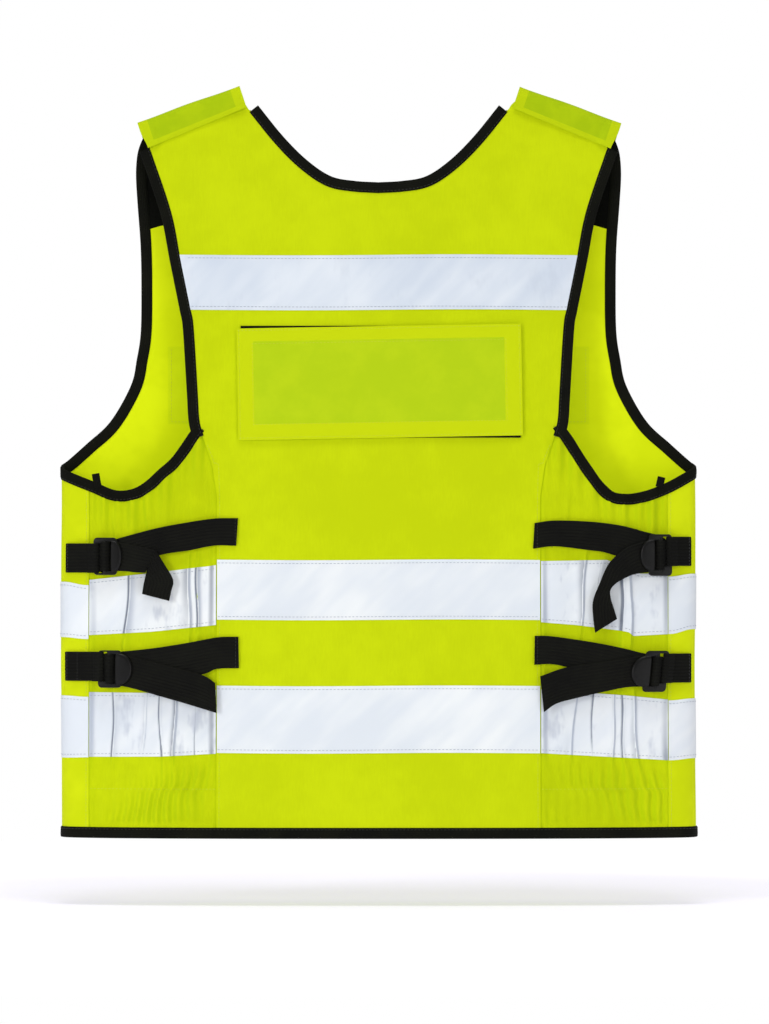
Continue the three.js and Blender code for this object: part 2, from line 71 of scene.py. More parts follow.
# ---- Camera, floor and light ----
camera = bpy.data.objects.new("camera", bpy.data.cameras.new("camera"))
camera.data.sensor_width = 36
camera.data.sensor_fit = "VERTICAL"
camera.data.sensor_height = 36
camera.data.lens = 210.9
camera.location = (0.005, -5.03, -0.352)
camera.rotation_euler = (math.pi / 2, 0, 0)
scene.collection.objects.link(camera)
scene.camera = camera


# ---- Shader writing ----
class Socket:
    """A value socket that takes part in arithmetic; each operation adds a Math node."""

    def __init__(self, shader, link):
        self.shader, self.link = shader, link

    def _math(self, operation, *values):
        return self.shader.node("ShaderNodeMath", {"operation": operation}, dict(enumerate(values)))[0]

    def __add__(self, other):
        return self._math("ADD", self, other)

    def __sub__(self, other):
        return self._math("SUBTRACT", self, other)

    def __rsub__(self, other):
        return self._math("SUBTRACT", other, self)

    def __mul__(self, other):
        return self._math("MULTIPLY", self, other)

    __radd__, __rmul__ = __add__, __mul__

    def sine(self):
        return self._math("SINE", self)

    def absolute(self):
        return self._math("ABSOLUTE", self)

    def between(self, low, high, soft):
        """1 inside low..high, 0 outside, over a soft edge."""
        rise = self.shader.ramp_value(self, low - soft, low + soft)
        return rise * (1 - self.shader.ramp_value(self, high - soft, high + soft))


class Finish:
    """A material, and one method that adds any node to it."""

    def __init__(self, name, **principled):
        self.material = bpy.data.materials.new(name)
        self.material.use_nodes = True
        self.tree = self.material.node_tree
        self.bsdf = self.tree.nodes["Principled BSDF"]
        for socket, value in principled.items():
            self.set(socket.replace("_", " ").title().replace("Ior", "IOR"), value)
        self.object = self.node("ShaderNodeTexCoord")[3]
        self.uv = self.node("ShaderNodeTexCoord")[2]
        parts = self.node("ShaderNodeSeparateXYZ", {}, {0: self.uv})
        self.u, self.v = parts[0], parts[1]

    def node(self, kind, settings=None, values=None):
        made = self.tree.nodes.new(kind)
        for key, value in (settings or {}).items():
            if key == "stops":
                ramp = made.color_ramp.elements
                while len(ramp) < len(value):
                    ramp.new(0.5)
                for element, (place, color) in zip(ramp, value):
                    element.position, element.color = place, (*color, 1)
            else:
                setattr(made, key, value)
        for key, value in (values or {}).items():
            self._fill(made.inputs[key], value)
        return [Socket(self, out) for out in made.outputs]

    def _fill(self, target, value):
        if isinstance(value, Socket):
            self.tree.links.new(value.link, target)
        elif hasattr(value, "__len__") and target.type == "RGBA":
            target.default_value = (*value, 1)
        else:
            target.default_value = value

    def set(self, name, value):
        self._fill(self.bsdf.inputs[name], value)

    def attribute(self, name):
        return self.node("ShaderNodeAttribute", {"attribute_name": name})[2]

    def noise(self, scale, detail=2.0, rough=0.5, vector=None, stretch=None):
        vector = vector or self.object
        if stretch:
            vector = self.node("ShaderNodeMapping", {}, {0: vector, 3: stretch})[0]
        return self.node("ShaderNodeTexNoise", {}, {0: vector, 2: scale, 3: detail, 4: rough})[0]

    def ramp_value(self, value, low, high):
        return self.node("ShaderNodeMapRange", {"interpolation_type": "SMOOTHSTEP"},
                         {0: value, 1: low, 2: high, 3: 0.0, 4: 1.0})[0]

    def mix(self, share, first, second):
        return self.node("ShaderNodeMix", {"data_type": "RGBA"}, {0: share, 6: first, 7: second})[2]

    def wave(self, along, period):
        return (along * (2 * math.pi / period)).sine()

    def bump(self, height, distance, strength=1.0):
        normal = self.node("ShaderNodeBump", {}, {"Strength": strength, "Distance": distance,
                                                  "Height": height})[0]
        self.set("Normal", normal)


def linear(r, g, b):
    """A paint chip's 0-255 values as linear light."""
    return tuple((c / 255 / 12.92) if c < 11 else ((c / 255 + 0.055) / 1.055) ** 2.4 for c in (r, g, b))


THREAD, WEAVE_RELIEF = 0.55, 0.00012  # thread pitch in UV millimetres, its height in metres


def woven(name, light, dark, roughness, glow=0.12):
    """Plain-weave cloth: two sets of threads, soft dyed variation, painted shade where it folds away, and a
    glow for its fluorescent dye painted as emission.
    """
    cloth = Finish(name, roughness=roughness, specular_ior_level=0.06, sheen_weight=0.02,
                   sheen_roughness=0.5)
    warp, weft = cloth.wave(cloth.u, THREAD), cloth.wave(cloth.v, THREAD * 1.15)
    slub = cloth.noise(900, 2, 0.6, stretch=(1, 1, 0.12))
    broad = cloth.noise(7, 3, 0.55)
    fine = cloth.noise(60, 2, 0.5)
    shade = broad * 0.55 + fine * 0.25 + slub * 0.2
    color = cloth.mix(cloth.ramp_value(shade, 0.38, 0.64), dark, light)
    # painted shade: the cloth's colour goes darker where its relief turns steeply away sideways
    painted_fold_shade = cloth.ramp_value(cloth.attribute("tilt").absolute(), 0.12, 0.85) * 0.55
    color = cloth.mix(painted_fold_shade, color, linear(172, 198, 2))
    cloth.set("Base Color", color)
    cloth.set("Emission Color", light)  # the dye is fluorescent; its brightness is painted as a steady emission that shines whatever the lamps
    cloth.set("Emission Strength", glow)
    cloth.set("Roughness", fine * 0.1 + (roughness - 0.05))
    cloth.bump(warp * weft * 0.5 + slub * 0.6, WEAVE_RELIEF)
    return cloth


def inside_cloth():
    """The front's cloth: the light that comes through it where it is seen from inside is painted, as a
    brighter emission on the front.
    """
    cloth = woven("yellow_cloth_front", linear(208, 223, 12), linear(200, 216, 8), 0.8, glow=0.27)
    across, towards_front, up = cloth.node("ShaderNodeSeparateXYZ", {}, {0: cloth.object})
    # painted shade: two layers of cloth behind the chest pocket let less light through, painted as a darker,
    # greener base colour
    pocket_painted_shade = across.absolute().between(0.126, 0.177, 0.0008) * up.between(-0.278, -0.213, 0.0008)
    soft = cloth.noise(22, 3, 0.6)
    plain = cloth.mix(cloth.ramp_value(soft, 0.4, 0.62), linear(200, 216, 8), linear(209, 224, 13))
    cloth.set("Base Color", cloth.mix(pocket_painted_shade * 0.22, plain, linear(150, 184, 20)))
    # painted light: the emission is brighter on the front half, where light comes through the cloth seen
    # from inside, and dimmer where it wraps onto the back
    cloth.set("Emission Color", cloth.mix(cloth.ramp_value(towards_front, -0.006, 0.006),
                                          linear(134, 144, 6), linear(208, 223, 12)))
    return cloth.material


yellow_cloth = woven("yellow_cloth", linear(199, 216, 9), linear(189, 206, 5), 0.8).material
side_yellow = woven("yellow_cloth_side", linear(196, 213, 6), linear(182, 200, 3), 0.8, glow=0.1).material
inside_yellow = inside_cloth()


def inset_cloth(cloth, u, v, soft, border, greens, speck):
    """Cloth with a greener sewn inset, over ranges of its own millimetres, inside a plain border."""
    inner = cloth.u.between(*u, 0.4) * cloth.v.between(*v, soft)
    green = cloth.mix(cloth.ramp_value(cloth.noise(speck, 3, 0.6), 0.35, 0.7), *greens)
    cloth.set("Base Color", cloth.mix(inner, border, green))
    return cloth.material


def tape_silver(name="reflective_tape", crumple=0.0, light=(240, 244, 244), dark=(222, 229, 235)):
    """Glass-bead tape: pale and evenly bright square on, with painted shade where it turns away, is
    crumpled, or creases.
    """
    tape = Finish(name, roughness=0.42, metallic=0.0, specular_ior_level=0.3)
    broad = tape.noise(9, 3, 0.5)
    # the broad noise is uneven tone; the slanted streaks mixed into it are painted creasing shade
    slanted = tape.node("ShaderNodeMapping", {"vector_type": "TEXTURE"},
                        {0: tape.object, 2: (0, 0.8, 0), 3: (0.6, 1, 2.4)})[0]
    painted_crease_shade = tape.noise(34, 2, 0.5, slanted)
    tone = tape.ramp_value(broad * 0.6 + painted_crease_shade * 0.4, 0.36, 0.66)
    tone = tape.mix(tone, linear(*dark), linear(*light))
    # painted shade: grey-blue patches where the tape is crumpled, as strong as crumple asks
    patch = tape.noise(34, 3, 0.6, stretch=(1.5, 1, 0.8))
    ridge = tape.noise(60, 2, 0.7, stretch=(2.2, 1, 0.5))
    painted_crumple_shade = tape.ramp_value(patch * 0.75 + ridge * 0.25, 0.52, 0.66) * crumple
    tone = tape.mix(painted_crumple_shade, tone, linear(158, 168, 188))
    # painted shade: greyer where the tape turns away sideways, and a little greyer where it turns towards,
    # as the beads send less light back
    slope = tape.attribute("tilt")
    away = tape.ramp_value(slope, 0.08, 0.75)
    toward = tape.ramp_value(slope * -1.0, 0.1, 0.7)
    tone = tape.mix(away * 0.9, tone, linear(112, 120, 136))
    tone = tape.mix(toward * 0.65, tone, linear(158, 168, 188))
    tape.set("Base Color", tone)
    beads = tape.noise(4200, 1, 0.5)
    tape.bump(beads * 0.5 + tape.wave(tape.u, 0.8) * tape.wave(tape.v, 0.8) * 0.2, 0.00006)
    tape.set("Roughness", broad * 0.2 + 0.36)
    return tape.material


def ribbed(name, light, dark, pitch, roughness, across):
    """Narrow woven goods: ribs along the length with cross threads, u across and v along."""
    goods = Finish(name, roughness=roughness, specular_ior_level=0.12, sheen_weight=0.02,
                   sheen_roughness=0.4)
    rib = goods.wave(goods.u, pitch)
    cross = goods.wave(goods.v, across)
    wear = goods.noise(35, 3, 0.6)
    tone = goods.ramp_value(rib * 0.12 + cross * 0.1 + wear, 0.3, 0.75)
    goods.set("Base Color", goods.mix(tone, dark, light))
    goods.bump(rib * 0.5 + cross * 0.35, 0.00018)
    return goods.material


binding_black = ribbed("binding_tape", linear(17, 18, 8), linear(6, 7, 3), 1.5, 0.85, 1.1)
webbing_black = ribbed("webbing", linear(14, 15, 8), linear(4, 4, 2), 2.78, 0.7, 0.9)
elastic_black = ribbed("elastic", linear(40, 40, 38), linear(20, 20, 20), 2.0, 0.8, 1.0)
zip_cloth = ribbed("zip_tape", linear(34, 34, 34), linear(18, 18, 18), 0.9, 0.85, 0.7)


def brushed_black(name, light, dark, loop):
    nap = Finish(name, roughness=0.95, specular_ior_level=0.05, sheen_weight=0.03, sheen_roughness=0.6)
    fuzz = nap.noise(loop, 3, 0.7)
    patches = nap.noise(24, 3, 0.6)
    nap.set("Base Color", nap.mix(nap.ramp_value(fuzz * 0.6 + patches * 0.4, 0.35, 0.7), dark, light))
    nap.bump(fuzz, 0.0005)
    return nap.material


yoke_black = brushed_black("yoke_cloth", linear(15, 16, 11), linear(5, 6, 4), 900)
hook_black = brushed_black("hook_and_loop", linear(26, 26, 24), linear(9, 9, 9), 1500)


def moulded(name, light, dark, roughness, metallic=0.0, shine=0.5):
    plastic = Finish(name, roughness=roughness, metallic=metallic, specular_ior_level=shine)
    mottle = plastic.noise(120, 3, 0.5)
    grain = plastic.noise(2600, 2, 0.6)
    scuff = plastic.noise(300, 4, 0.7, stretch=(1, 1, 0.2))
    plastic.set("Base Color", plastic.mix(plastic.ramp_value(mottle, 0.35, 0.7), dark, light))
    plastic.set("Roughness", roughness + 0.12 * (scuff - 0.5))
    plastic.bump(grain, 0.00005)
    return plastic.material


buckle_black = moulded("buckle_plastic", linear(9, 9, 8), linear(5, 5, 4), 0.38, shine=0.22)
zip_black = moulded("zip_metal", linear(44, 44, 46), linear(24, 24, 26), 0.3, 0.4)


def thread_of(name, light, dark):
    thread = Finish(name, roughness=0.6, specular_ior_level=0.4, sheen_weight=0.2)
    twist = thread.noise(2400, 1, 0.5)
    thread.set("Base Color", thread.mix(twist, dark, light))
    thread.bump(twist, 0.0001)
    return thread.material


grey_thread = thread_of("grey_thread", linear(176, 184, 196), linear(142, 150, 164))
yellow_thread = thread_of("yellow_thread", linear(216, 232, 60), linear(184, 202, 20))
black_thread = thread_of("black_thread", linear(34, 34, 28), linear(18, 18, 15))


# ---- The body surface ----
def shoulder_fold(x):
    return SHOULDER - FALL * np.maximum(0, np.abs(x) - NECK_HALF)


def half_depth(x, z):
    bulge = (1 - np.minimum(1, np.abs(x) / HALF_WIDTH) ** SECTION) ** (1 / SECTION)
    return bulge * (TOP_DEPTH + (HEM_DEPTH - TOP_DEPTH) * (1 - z / shoulder_fold(x)))


# Girth is measured along the middle section from the back's centre; past FOLD it is the front.
_angle = np.linspace(0, math.pi / 2, 400)
_x = HALF_WIDTH * np.sin(_angle) ** (2 / SECTION)
_y = -GIRTH_DEPTH * np.cos(_angle) ** (2 / SECTION)
_girth = np.concatenate([[0], np.cumsum(np.hypot(np.diff(_x), np.diff(_y)))])
FOLD = float(_girth[-1])


def girth(x):
    """Girth on the back at a distance from the centre; the sign of x is kept."""
    return np.sign(x) * np.interp(np.abs(x), _x, _girth)


def base(s, z):
    s = np.asarray(s, float)
    reach = np.abs(s)
    # past the front's centre the line goes on into the other half
    over = reach > 2 * FOLD
    reach = np.where(over, 4 * FOLD - reach, reach)
    sign = np.where(over, -np.sign(s), np.sign(s))
    is_front = reach > FOLD
    x = np.interp(np.where(is_front, 2 * FOLD - reach, reach), _girth, _x)
    y = np.where(is_front, 1, -1) * half_depth(x, z)
    return np.stack([sign * x, y, np.asarray(z, float) + 0 * x], -1)


def normal(s, z):
    around = base(s + 0.8, z) - base(s - 0.8, z)
    up = base(s, z + 1.0) - base(s, z - 1.0)
    out = np.cross(around, up)
    return out / np.linalg.norm(out, axis=-1, keepdims=True)


def step(a, b, value):
    t = np.clip((value - a) / (b - a), 0, 1)
    return t * t * (3 - 2 * t)


# Pleats in the side panels: place from the centre at the low and high end, height range, depth,
# and how far the cloth rises to the fold; the sign of the rise is the side that it comes from.
PLEATS = {
    -1: [(213, 206, 150, 240, 3.2, 16), (158, 158, 150, 240, 2.6, -12), (151.5, 151, 160, 238, 3.4, 8),
         (222, 221, 60, 132, 2.6, 10), (181, 183, 60, 132, 3.2, 18), (171, 169, 60, 135, 3.0, -9),
         (152, 154, 60, 135, 2.4, 12), (198, 192, 66, 128, 1.6, -9), (236, 229, 90, 130, 1.6, 7),
         (190, 196, 232, 292, 1.5, 10), (143, 143, 232, 300, 1.6, -8), (221, 224, 240, 290, 1.4, 9)],
    1: [(211, 211, 160, 236, 3.4, 15), (203.5, 204, 150, 240, 2.4, -8), (167, 174, 150, 240, 3.0, 16),
        (181, 187, 176, 236, 1.8, -8), (195, 198, 60, 132, 2.8, 12), (205, 203, 60, 132, 2.6, -7),
        (217, 212, 60, 132, 2.6, 10), (160, 166, 60, 132, 2.2, 14), (178, 180, 60, 132, 1.8, -9),
        (157, 160, 240, 300, 1.5, 9), (228, 226, 240, 290, 1.4, -9), (186, 183, 240, 292, 1.3, 9)],
}


def slack(s, z):
    """The soft waves of the front and back cloth, without the side gathers."""
    return 0.5 * np.sin(s / 41 + z / 90 + 0.6) * np.sin(z / 63 + s / 120) * step(610, 520, z) \
        + 0.35 * np.sin(s / 19 + 1.7 * np.sin(z / 47)) * np.sin(z / 37 + 1.1)


def off_centre(s):
    """Distance from the middle of the back or front at a girth."""
    return np.interp(np.minimum(np.abs(s), 2 * FOLD - np.abs(s)), _girth, _x)


def relief(s, z):
    """How far the cloth stands out of the plain surface: soft waves, side gathers and pleats."""
    s, z = np.asarray(s, float), np.asarray(z, float)
    x = off_centre(s)
    on_back = np.abs(s) < FOLD
    side = np.where(s < 0, -1, 1)
    total = slack(s, z)
    inside = step(BACK_HALF + 1, BACK_HALF + 9, x) * step(WRAP + 1, WRAP - 7, x) * on_back
    # gathers over the elastic in the hem, with the sewn line above it
    squeeze = step(9, 15, z) * step(82, 44, z)
    wander = x / 9.6 * 2 * np.pi + 1.7 * np.sin(x / 14 + side) + 0.7 * np.sin(z / 7 + x / 13) + 0.05 * z \
        + 2.1 * step(38, 44, z)
    bumps = 0.5 + 0.5 * np.sin(wander)
    bumps = bumps ** 0.8 * (0.65 + 0.35 * np.sin(x / 21 + 2 * side + z / 19))
    gathers = 3.3 * squeeze * bumps - 1.9 * squeeze
    gathers -= 1.3 * np.exp(-((z - 41 - 1.2 * np.sin(x / 8)) / 2.2) ** 2)
    gathers -= 0.8 * np.exp(-((z - 13) / 2.0) ** 2)
    # pleats under the arm, running down from the binding
    arm = np.interp(x, [157, 172, 184, 195, 206, 220, 236, 250], [339, 318, 307, 297, 291, 290, 296, 302])
    below = arm - z
    inside = inside * step(-1, 7, below)
    gathers += 1.7 * step(60, 8, below) * np.sin(x / 12.5 * 2 * np.pi + 1.2 * np.sin(x / 19))
    # long soft pleats between the straps
    gathers += 0.9 * np.sin(x / 27 * 2 * np.pi + z / 60 + side) * step(44, 95, z)
    for hand, pleats in PLEATS.items():
        for low, high, z0, z1, size, rise in pleats:
            line = low + (high - low) * (z - z0) / (z1 - z0) + 0.8 * np.sin(z / 11 + low)
            reach = step(z0 - 14, z0 + 12, z) * step(z1 + 16, z1 - 10, z)
            into = (x - line) / rise  # below 0 on the rising side, above 0 past the fold
            shape = np.where(into < 0, np.clip(1 + into, 0, 1) ** 2, np.exp(-np.abs(x - line) / 0.9))
            gathers += (side == hand) * size * reach * (shape - 0.3)
    total += inside * gathers
    # the straps hold the folds down, so they stand out less than they sink in
    return np.where(total > 0, 1.8 * np.tanh(total / 1.8), 3.4 * np.tanh(total / 3.4))


def tilt(s, z):
    """How steeply the cloth turns away sideways, from which the cloth and the tape get painted shade."""
    return (relief(np.asarray(s) + 0.7, z) - relief(np.asarray(s) - 0.7, z)) / 1.4


def place(s, z, t, wave=relief):
    s, z = np.broadcast_arrays(np.asarray(s, float), np.asarray(z, float))
    return base(s, z) + normal(s, z) * (np.asarray(t, float) + wave(s, z))[..., None]


# ---- Meshes ----
def make(name, points, faces, material, uv, smooth_below, slope=None):
    """A mesh object in metres from points in millimetres above the hem."""
    data = bpy.data.meshes.new(name)
    co = np.array(points, float) * 0.001
    co[:, 2] -= SHOULDER * 0.001
    data.from_pydata(co.tolist(), [], [tuple(map(int, f)) for f in faces])
    if uv is not None:
        layer = data.uv_layers.new(name="UVMap")
        loops = np.zeros(len(data.loops), int)
        data.loops.foreach_get("vertex_index", loops)
        layer.data.foreach_set("uv", np.asarray(uv, float)[loops].ravel())
    if slope is not None:
        data.attributes.new("tilt", "FLOAT", "POINT").data.foreach_set("value", np.ravel(slope))
    made = bpy.data.objects.new(name, data)
    scene.collection.objects.link(made)
    data.materials.append(material)
    data.shade_smooth()
    data.set_sharp_from_angle(angle=math.radians(smooth_below))
    data.update()
    return made


def along_path(path):
    """Distance along a line at each of its points."""
    return np.concatenate([[0], np.cumsum(np.hypot(*np.diff(path, axis=0).T))])


def resample(path, spacing, closed=False):
    path = np.array(path, float)
    if closed:
        path = np.vstack([path, path[:1]])
    length = along_path(path)
    count = max(2, int(round(length[-1] / spacing)) + 1)
    at = np.linspace(0, length[-1], count)
    made = np.stack([np.interp(at, length, path[:, 0]), np.interp(at, length, path[:, 1])], -1)
    return made[:-1] if closed else made


def smooth_line(points, spacing=3.0):
    """A Catmull-Rom line through points, evenly resampled."""
    p = np.array(points, float)
    if len(p) < 3:
        return resample(p, spacing)
    p = np.vstack([2 * p[0] - p[1], p, 2 * p[-1] - p[-2]])
    out = []
    for a, b, c, d in zip(p[:-3], p[1:-2], p[2:-1], p[3:]):
        for t in np.linspace(0, 1, 12, endpoint=False):
            out.append(0.5 * (2 * b + (c - a) * t + (2 * a - 5 * b + 4 * c - d) * t * t
                              + (3 * b - a - 3 * c + d) * t ** 3))
    out.append(p[-2])
    return resample(out, spacing)


def leftward(path):
    """The unit direction to the left of a path at each point."""
    run = np.gradient(path, axis=0)
    run /= np.linalg.norm(run, axis=1, keepdims=True)
    return np.stack([-run[:, 1], run[:, 0]], -1)


def offset(path, distance):
    """The path moved to its left by a distance."""
    return path + leftward(path) * distance


def inside_outline(points, outline):
    x, y = points[:, 0], points[:, 1]
    hit = np.zeros(len(points), bool)
    for (x0, y0), (x1, y1) in zip(outline, np.roll(outline, -1, axis=0)):
        crosses = (y0 > y) != (y1 > y)
        if y1 != y0:
            hit ^= crosses & (x < (x1 - x0) * (y - y0) / (y1 - y0) + x0)
    return hit


def cloth_panel(name, outline, material, spacing, inner=0.0, outer=CLOTH, offset_of=None, columns=None):
    """A sheet cut to an outline in girth and height, with both faces and its rim."""
    edge = resample(outline, spacing, closed=True)
    low, high = edge.min(0), edge.max(0)
    xs = np.arange(low[0] + spacing / 2, high[0], columns or spacing)
    zs = np.arange(low[1] + spacing / 2, high[1], spacing)
    grid = np.stack(np.meshgrid(xs, zs), -1).reshape(-1, 2)
    grid = grid[inside_outline(grid, edge)]
    near = np.full(len(grid), np.inf)
    for p in edge:
        near = np.minimum(near, np.hypot(*(grid - p).T))
    grid = grid[near > min(spacing, columns or spacing) * 0.55]
    flat = np.vstack([edge, grid])
    verts, _, faces, *_ = delaunay_2d_cdt([Vector(p) for p in flat], [],
                                          [list(range(len(edge)))], 1, 1e-5)
    flat = np.array([list(v) for v in verts])
    faces = np.array([list(f) for f in faces])
    a, b, c = flat[faces[:, 0]], flat[faces[:, 1]], flat[faces[:, 2]]
    turn = (b - a)[:, 0] * (c - a)[:, 1] - (b - a)[:, 1] * (c - a)[:, 0]
    faces[turn < 0] = faces[turn < 0][:, ::-1]
    s, z = flat.T
    shift = offset_of(s, z) if offset_of else 0
    return thickened(name, place(s, z, outer + shift), place(s, z, inner + shift), faces.tolist(), material,
                     flat, tilt(s, z))


def thickened(name, outer, inner, faces, material, uv, slope):
    """A closed solid between two matching skins; the faces given are the outer skin's."""
    count = len(outer)
    edges = dict.fromkeys((p, q) for face in faces for p, q in zip(face, face[1:] + face[:1]))
    rim = [(q, p, p + count, q + count) for p, q in edges if (q, p) not in edges]
    under = [[i + count for i in face[::-1]] for face in faces]
    return make(name, np.vstack([outer, inner]), faces + under + rim, material, np.vstack([uv, uv]), 50,
                np.tile(slope, 2))


def band(name, s0, s1, low, high, material, spacing, t=(TAPE_IN, TAPE_OUT)):
    """A flat tape between two girths; low and high are functions of girth."""
    s = np.linspace(s0, s1, max(2, int(abs(s1 - s0) / spacing) + 1))
    top, bottom = high(s), low(s)
    z = bottom[:, None] + (top - bottom)[:, None] * np.linspace(0, 1, BAND_ROWS)
    ss = np.repeat(s[:, None], BAND_ROWS, 1)
    outer, inner = place(ss, z, t[1]), place(ss, z, t[0])
    return slab_grid(name, outer, inner, material, np.stack([ss, z], -1), tilt(ss, z))


def flat_at(height):
    return lambda s: np.full(len(s), float(height))


def slab_grid(name, outer, inner, material, uv, slope=None):
    """Closed solid between two matching grids of points."""
    rows, cols = outer.shape[:2]
    index = np.arange(rows * cols).reshape(rows, cols)
    faces = np.stack([index[:-1, :-1], index[1:, :-1], index[1:, 1:], index[:-1, 1:]], -1).reshape(-1, 4)
    across = np.cross(outer[1, 0] - outer[0, 0], outer[0, 1] - outer[0, 0])
    if np.dot(across, outer[0, 0] - inner[0, 0]) < 0:
        faces = faces[:, ::-1]
    slope = np.zeros(rows * cols) if slope is None else np.ravel(slope)
    return thickened(name, outer.reshape(-1, 3), inner.reshape(-1, 3), faces.tolist(), material,
                     uv.reshape(-1, 2), slope)


# The rounded section of edge binding: distance in from the cloth's edge, and offset outwards.
BINDING = [(-0.2, 0.5), (0.0, 1.5), (0.7, 2.0), (3.0, 2.15), (6.0, 2.05), (8.6, 1.8), (9.0, 1.3),
           (9.0, -0.3), (8.6, -0.8), (6.0, -1.05), (3.0, -1.15), (0.7, -1.0), (0.0, -0.5)]


def binding(name, path, inward, section=BINDING):
    """Tape folded over an edge: the section swept along a path, inward is +1 to its left."""
    path = resample(path, 3.0)
    left = leftward(path) * inward
    section = np.array(section)
    ring = len(section)
    flat = path[:, None, :] + left[:, None, :] * section[None, :, :1]
    t = np.repeat(section[None, :, 1], len(path), 0)
    uv = np.stack(np.broadcast_arrays(along_path(section)[None, :], along_path(path)[:, None]), -1)
    points, faces = loft(place(flat[..., 0], flat[..., 1], t))
    return outward(make(name, points, faces, binding_black, uv.reshape(-1, 2), 60))


def loft(sections):
    """A closed skin over rings of equal length."""
    rings = np.array(sections, float)
    index = np.arange(rings.shape[0] * rings.shape[1]).reshape(rings.shape[:2])
    after = np.roll(index, -1, axis=1)
    faces = np.stack([index[:-1], after[:-1], after[1:], index[1:]], -1).reshape(-1, 4).tolist()
    return rings.reshape(-1, 3), faces + [index[0, ::-1].tolist(), index[-1].tolist()]


def outward(made, weld=0):
    """Turns a closed mesh's faces outwards, after points closer than weld are joined."""
    mesh = bmesh.new()
    mesh.from_mesh(made.data)
    if weld:
        bmesh.ops.remove_doubles(mesh, verts=mesh.verts, dist=weld)
    bmesh.ops.recalc_face_normals(mesh, faces=mesh.faces)
    mesh.to_mesh(made.data)
    mesh.free()
    return made


def joined(name, pieces):
    """Several meshes as one, keeping their materials."""
    mesh = bmesh.new()
    materials = []
    for part in pieces:
        start = len(mesh.faces)
        mesh.from_mesh(part.data)
        mesh.faces.ensure_lookup_table()
        part_materials = list(part.data.materials)
        for face in mesh.faces[start:]:
            own = part_materials[face.material_index]
            if own not in materials:
                materials.append(own)
            face.material_index = materials.index(own)
    data = bpy.data.meshes.new(name)
    mesh.to_mesh(data)
    mesh.free()
    for material in materials:
        data.materials.append(material)
    for part in pieces:
        bpy.data.objects.remove(part)
    made = bpy.data.objects.new(name, data)
    scene.collection.objects.link(made)
    return made


# ---- Repeats: one tree sets short dashes or teeth along a line ----
def repeat_tree():
    tree = bpy.data.node_groups.new("repeat_along_line", "GeometryNodeTree")
    face = tree.interface
    face.new_socket("Line", in_out="INPUT", socket_type="NodeSocketGeometry")
    for name, value in (("Pitch", 0.003), ("Length", 0.002), ("Width", 0.0005), ("Height", 0.0004)):
        face.new_socket(name, in_out="INPUT", socket_type="NodeSocketFloat").default_value = value
    face.new_socket("Finish", in_out="INPUT", socket_type="NodeSocketMaterial")
    face.new_socket("Result", in_out="OUTPUT", socket_type="NodeSocketGeometry")

    def node(kind, **settings):
        made = tree.nodes.new(kind)
        for key, value in settings.items():
            setattr(made, key, value)
        return made

    given, result = node("NodeGroupInput"), node("NodeGroupOutput")
    curve = node("GeometryNodeMeshToCurve")
    spaced = node("GeometryNodeResampleCurve", mode="LENGTH")
    tangent = node("GeometryNodeInputTangent")
    outwards = node("GeometryNodeInputNamedAttribute", data_type="FLOAT_VECTOR")
    outwards.inputs["Name"].default_value = "out"
    along = node("FunctionNodeAlignRotationToVector", axis="X")
    upright = node("FunctionNodeAlignRotationToVector", axis="Z", pivot_axis="X")
    unit = node("GeometryNodeMeshUVSphere")
    unit.inputs["Segments"].default_value = 6
    unit.inputs["Rings"].default_value = 4
    unit.inputs["Radius"].default_value = 0.5
    lay = node("GeometryNodeTransform")
    lay.inputs["Rotation"].default_value = (0, math.pi / 2, 0)
    size = node("ShaderNodeCombineXYZ")
    instances = node("GeometryNodeInstanceOnPoints")
    real = node("GeometryNodeRealizeInstances")
    paint = node("GeometryNodeSetMaterial")
    for a, out, b, into in (
            (given, "Line", curve, "Mesh"), (curve, 0, spaced, "Curve"), (given, "Pitch", spaced, "Length"),
            (tangent, 0, along, "Vector"), (along, 0, upright, "Rotation"),
            (outwards, "Attribute", upright, "Vector"), (unit, 0, lay, "Geometry"),
            (given, "Length", size, "X"), (given, "Width", size, "Y"), (given, "Height", size, "Z"),
            (spaced, 0, instances, "Points"), (lay, 0, instances, "Instance"),
            (upright, 0, instances, "Rotation"), (size, 0, instances, "Scale"), (instances, 0, real, 0),
            (real, 0, paint, "Geometry"), (given, "Finish", paint, "Material"), (paint, 0, result, 0)):
        tree.links.new(a.outputs[out], b.inputs[into])
    return tree


REPEAT = repeat_tree()


def repeats(name, lines, material, pitch=3.0, length=2.2, width=0.55, height=0.5):
    """Dashes along lines of points with their outward directions, as one plain mesh."""
    verts, edges, outs = [], [], []
    for points, out in lines:
        start = len(verts)
        verts += (np.asarray(points) * 0.001 - np.array([0, 0, SHOULDER * 0.001])).tolist()
        outs += np.asarray(out).tolist()
        edges += [(start + i, start + i + 1) for i in range(len(points) - 1)]
    data = bpy.data.meshes.new(name + "_line")
    data.from_pydata(verts, edges, [])
    data.attributes.new("out", "FLOAT_VECTOR", "POINT").data.foreach_set("vector", np.ravel(outs))
    holder = bpy.data.objects.new(name + "_line", data)
    scene.collection.objects.link(holder)
    modifier = holder.modifiers.new("repeat", "NODES")
    modifier.node_group = REPEAT
    sockets = {i.name: i.identifier for i in REPEAT.interface.items_tree if i.in_out == "INPUT"}
    for key, value in (("Pitch", pitch), ("Length", length), ("Width", width), ("Height", height)):
        modifier[sockets[key]] = value * 0.001
    modifier[sockets["Finish"]] = material
    holder.update_tag()
    bpy.context.view_layer.update()
    evaluated = holder.evaluated_get(bpy.context.evaluated_depsgraph_get())
    plain = bpy.data.meshes.new_from_object(evaluated)
    bpy.data.objects.remove(holder)
    made = bpy.data.objects.new(name, plain)
    scene.collection.objects.link(made)
    plain.shade_smooth()
    return made


